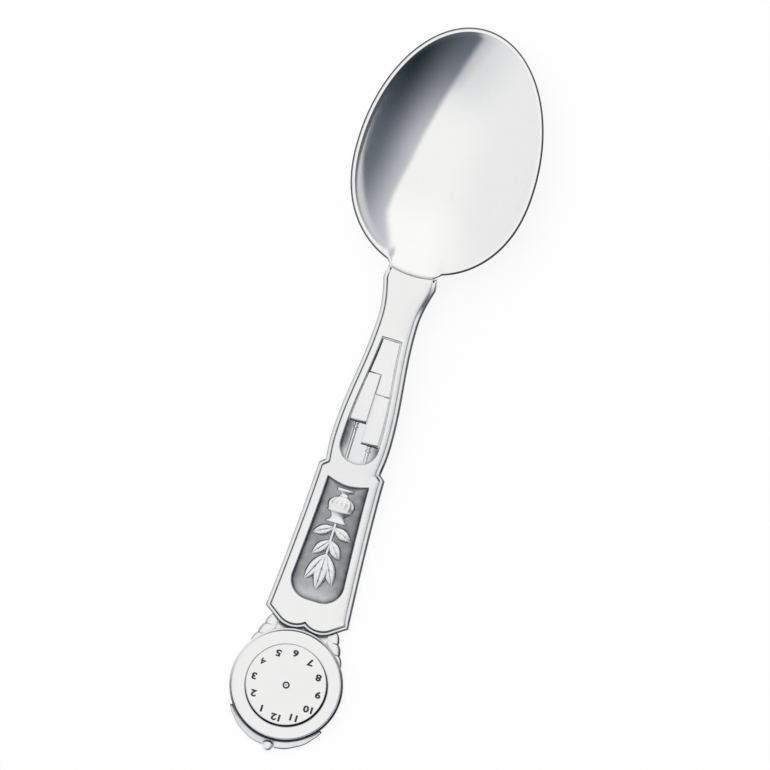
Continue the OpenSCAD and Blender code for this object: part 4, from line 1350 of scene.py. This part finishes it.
def crest_edges(turn):
    """How far the crest's inner and outer edge lie from its centre at an angle."""
    reach, middle = CREST_Y - BEAD_Y, CREST_PLACE * math.cos(turn)
    inner = math.sqrt(middle**2 + PAD_R**2 - CREST_PLACE**2) - middle + SEAT_GAP
    outer = CREST_R - SCALLOP_DEEP * (1 - abs(math.cos(SCALLOPS * turn)))
    beside = (BEAD_R + FIT_GAP) ** 2 - (reach * math.sin(turn)) ** 2
    if beside > 0:
        outer = min(outer, reach * math.cos(turn) - math.sqrt(beside))
    return inner, outer


def crest():
    """A carved crescent round the end of the head, with a rolled edge."""
    bm = new_mesh()
    layer = bm.verts.layers.float["tarnish"]
    rows = len(ROLL) - 1
    for v in bmesh.ops.create_grid(bm, x_segments=CREST_STEPS, y_segments=rows, size=1)["verts"]:
        turn = CREST_TURN * v.co.x
        tip = CREST_TIP_DARK * fall((1 - abs(v.co.x)) / CREST_TIP)
        share, height, left, right = ROLL[round((v.co.y + 1) / 2 * rows)]
        inner, outer = crest_edges(turn)
        r = inner + (outer - inner) * share
        v.co = (r * math.sin(turn), CREST_Y - r * math.cos(turn), height)
        v[layer] = max(tip, right if turn > 0 else left)
    close_down(bm, 0, CREST_DULL)
    return bm


finish_piece(crest(), "head_crest", "crest", "carved_silver")

# %% [markdown]
# The bead at the crest's middle is a small blunt dome on a short straight wall. A sphere would sink into the
# crest, so it is turned, with a high, round-shouldered section, and is dark low down beside the roll, with
# oxide and painted contact shade.

# %% The bead
BEAD_LOW, BEAD_DOME, BEAD_BLUNT, BEAD_FOOT = 0.5, 1.12, 0.6, 0.06
BEAD_TRIM, BEAD_STEPS, BEAD_SIDES = 0.12, 20, 48
BEAD_DARK, BEAD_DARK_FROM, BEAD_DARK_REACH = 0.5, 0.4, 0.3
bead_section = [(0, BEAD_LOW + BEAD_DOME)]
bead_section += [(BEAD_R * math.sin(a), BEAD_LOW + BEAD_DOME * math.cos(a) ** BEAD_BLUNT)
                 for a in between(BEAD_TRIM, math.pi / 2, BEAD_STEPS)]
bead = turned(bead_section + [(BEAD_R, BEAD_FOOT), (BEAD_R - BEAD_FOOT, 0), (0, 0)], BEAD_SIDES)
bmesh.ops.translate(bead, verts=bead.verts, vec=(0, BEAD_Y, 0))
tarnish_by(bead, lambda x, y, z: BEAD_DARK * fall((z - BEAD_DARK_FROM) / BEAD_DARK_REACH))
finish_piece(bead, "crest_bead_dome", "crest_bead", "carved_silver")

# %% [markdown]
# Polished silver has no colour of its own to speak of: what it shows is the room. Lamps and cards round the
# spoon could make that room, but a world that is computed from the direction alone is easier to shape. One
# side of it, on the right and low, is dark, and the bowl mirrors it as a dark band on its left. The dark
# side's edge is a plane through the spoon, bent a little ahead, and it hooks back where the bowl's heel
# mirrors it. Next to the edge lies a dusk that is lighter ahead than behind, and low down a grey bench,
# which shows as a strip along the lip.

# %% The dark side of the room
DARK_SIDE, DARK_DEEP_AT = (0.8, -0.27, -0.535), (0, 0.74)
EDGE_BEND, EDGE_BEND_AT, EDGE_HOOK, EDGE_HOOK_AT = 0.08, (-0.35, 0.6), 0.16, (0.62, 0.95)
DUSK_BEHIND, DUSK_AHEAD, DUSK_AT = (0.125, 0.145, 0.17, 1), (0.58, 0.593, 0.635, 1), (-0.93, 0.03)
DARK_BEHIND, DARK_AHEAD, DARK_AT = (0.006, 0.016, 0.02, 1), (0.118, 0.14, 0.168, 1), (-0.6, 0.15)
BENCH, BENCH_SLOPE, BENCH_SAG, BENCH_AT = (0.63, 0.645, 0.665, 1), 0.4, 0.49, (-0.02, 0.03)
world = bpy.data.worlds.new("studio")
bpy.context.scene.world = world
studio = empty_tree(world)
toward = studio.node("ShaderNodeTexCoord", out="Generated")
side, front, up = [toward.dot(axis) for axis in ((1, 0, 0), (0, 1, 0), (0, 0, 1))]
lean = toward.dot(DARK_SIDE)
edge = lean - EDGE_BEND * front.fade(*EDGE_BEND_AT) + EDGE_HOOK * front.fade(*EDGE_HOOK_AT)
dusk = front.fade(*DUSK_AT).mix(DUSK_BEHIND, DUSK_AHEAD)
deep = front.fade(*DARK_AT).mix(DARK_BEHIND, DARK_AHEAD)
bench = up - BENCH_SLOPE * front * (1 - BENCH_SAG * front)
dark = bench.fade(*BENCH_AT).mix(BENCH, lean.fade(*DARK_DEEP_AT).mix(dusk, deep))
print("dark side towards", DARK_SIDE)

# %% [markdown]
# The rest of the room is a white tent, as silver is usually shown in. An even white would leave the hollow
# flat, so the tent is a little brighter ahead, greyer behind and on the left, and has a soft shade behind,
# next to the dark side. These tones lie on the world and not on the metal, so they move as reflections do
# when the view changes.

# %% The pale tent
TENT, TENT_LEFT, TENT_LEFT_AT = (0.985, 0.985, 0.975, 1), (0.91, 0.91, 0.91, 1), (-0.85, 0)
TENT_BEHIND, TENT_BEHIND_AT = (0.73, 0.745, 0.76, 1), (-0.85, -0.2)
TENT_AHEAD, TENT_AHEAD_AT = (1.06, 1.055, 1.045, 1), (0.3, 0.9)
TENT_SHADE, SHADE_AT, SHADE_BEHIND_AT = (0.555, 0.575, 0.61, 1), (-0.25, 0.02), (-0.68, -0.46)
EDGE_AT = -0.05, 0.07
soft = front.fade(*TENT_BEHIND_AT).mix(TENT_BEHIND, TENT)
soft = front.fade(*TENT_AHEAD_AT).mix(soft, TENT_AHEAD)
pale = side.fade(*TENT_LEFT_AT).mix(TENT_LEFT, soft)
shade = edge.fade(*SHADE_AT) * (1 - front.fade(*SHADE_BEHIND_AT))
room = edge.fade(*EDGE_AT).mix(shade.mix(pale, TENT_SHADE), dark)
sky = studio.node("ShaderNodeBackground", sockets={"Color": room, "Strength": 1.0})
studio.node("ShaderNodeOutputWorld", sockets={"Surface": sky})
print("the studio has", len(world.node_tree.nodes), "nodes")

# %% [markdown]
# The spoon lies on a large white sheet. Making paper pure white with lamps would burn out the silver, so
# the sheet glows by itself: seen by the camera, in the silver or through anything clear it is almost pure
# white, and a small share of it stays plain paper that keeps a faint shadow.

# %% The white floor
FLOOR_HALF, FLOOR_DROP = 6, 0.02
PAPER, PAPER_SHARE, WHITE = (0.93, 0.93, 0.93, 1), 0.15, (1, 1, 1, 1)
SEEN_BY = "Is Camera Ray", "Is Glossy Ray", "Is Transmission Ray"


def white_paper():
    """Paper that keeps a shadow and is otherwise white to the camera and in the silver."""
    material = bpy.data.materials.new("white_paper")
    start = empty_tree(material)
    matte = start.node("ShaderNodeBsdfDiffuse", sockets={"Color": PAPER})
    glow = start.node("ShaderNodeEmission", sockets={"Color": WHITE, "Strength": 1.0})
    direct, glossy, clear = [start.node("ShaderNodeLightPath", out=kind) for kind in SEEN_BY]
    bright = (direct + glossy + clear) * (1 - PAPER_SHARE)
    surface = start.node("ShaderNodeMixShader", sockets={"Fac": bright, 1: matte, 2: glow})
    start.node("ShaderNodeOutputMaterial", sockets={"Surface": surface})
    return material


sheet = bmesh.new()
bmesh.ops.create_grid(sheet, x_segments=1, y_segments=1, size=FLOOR_HALF)
bmesh.ops.translate(sheet, vec=(0, 0, -FLOOR_DROP * MM), verts=sheet.verts)
floor_mesh = bpy.data.meshes.new("floor")
sheet.to_mesh(floor_mesh)
sheet.free()
floor_mesh.materials.append(white_paper())
floor = add_object("floor", floor_mesh)
print("floor", 2 * FLOOR_HALF, "m wide")

# %% [markdown]
# The shadow in such a picture is faint and soft. A sun would give it a hard edge, so one wide lamp on the
# left makes it. The silver doesn't mirror it, because a bright disc in the bowl would spoil the calm room
# that the world gives.

# %% The soft lamp
LAMP_SIZE, LAMP_POWER = 0.7, 3.0
LAMP_PLACE, LAMP_LEAN = (-0.35, 0.25, 0.9), (math.radians(-15), math.radians(-21), 0)
lamp_data = bpy.data.lights.new("soft_lamp", "AREA")
lamp_data.shape, lamp_data.size, lamp_data.energy = "DISK", LAMP_SIZE, LAMP_POWER
lamp = add_object("soft_lamp", lamp_data)
lamp.location, lamp.rotation_euler = LAMP_PLACE, LAMP_LEAN
lamp.visible_glossy = False
print("lamp", LAMP_POWER, "W and", LAMP_SIZE, "m wide")

# %% [markdown]
# The photograph looks straight down from far off, with the spoon turned so that its bowl points up and to
# the right. Turning the spoon would do, but turning the camera instead keeps the spoon on its own axes. A
# long lens from far off keeps the near bowl and the low dial at one scale.

# %% The camera
CAMERA_TURN, CAMERA_HEIGHT = math.radians(17.1), 1600
VIEW_W, VIEW_CENTRE, SENSOR_W = 153.64, (1.25, 1.73), 36
camera_data = bpy.data.cameras.new("camera")
camera_data.sensor_fit, camera_data.sensor_width = "HORIZONTAL", SENSOR_W
camera_data.lens = SENSOR_W * CAMERA_HEIGHT / VIEW_W
camera = add_object("camera", camera_data)
camera.location = (VIEW_CENTRE[0] * MM, VIEW_CENTRE[1] * MM, CAMERA_HEIGHT * MM)
camera.rotation_euler = (0, 0, CAMERA_TURN)
bpy.context.scene.camera = camera
bpy.context.scene.view_settings.view_transform = "Standard"
print("camera", CAMERA_HEIGHT, "mm above the table, lens", round(camera_data.lens, 1), "mm")

# %% [markdown]
# The dressed spoon has to be the size of the CAD model.
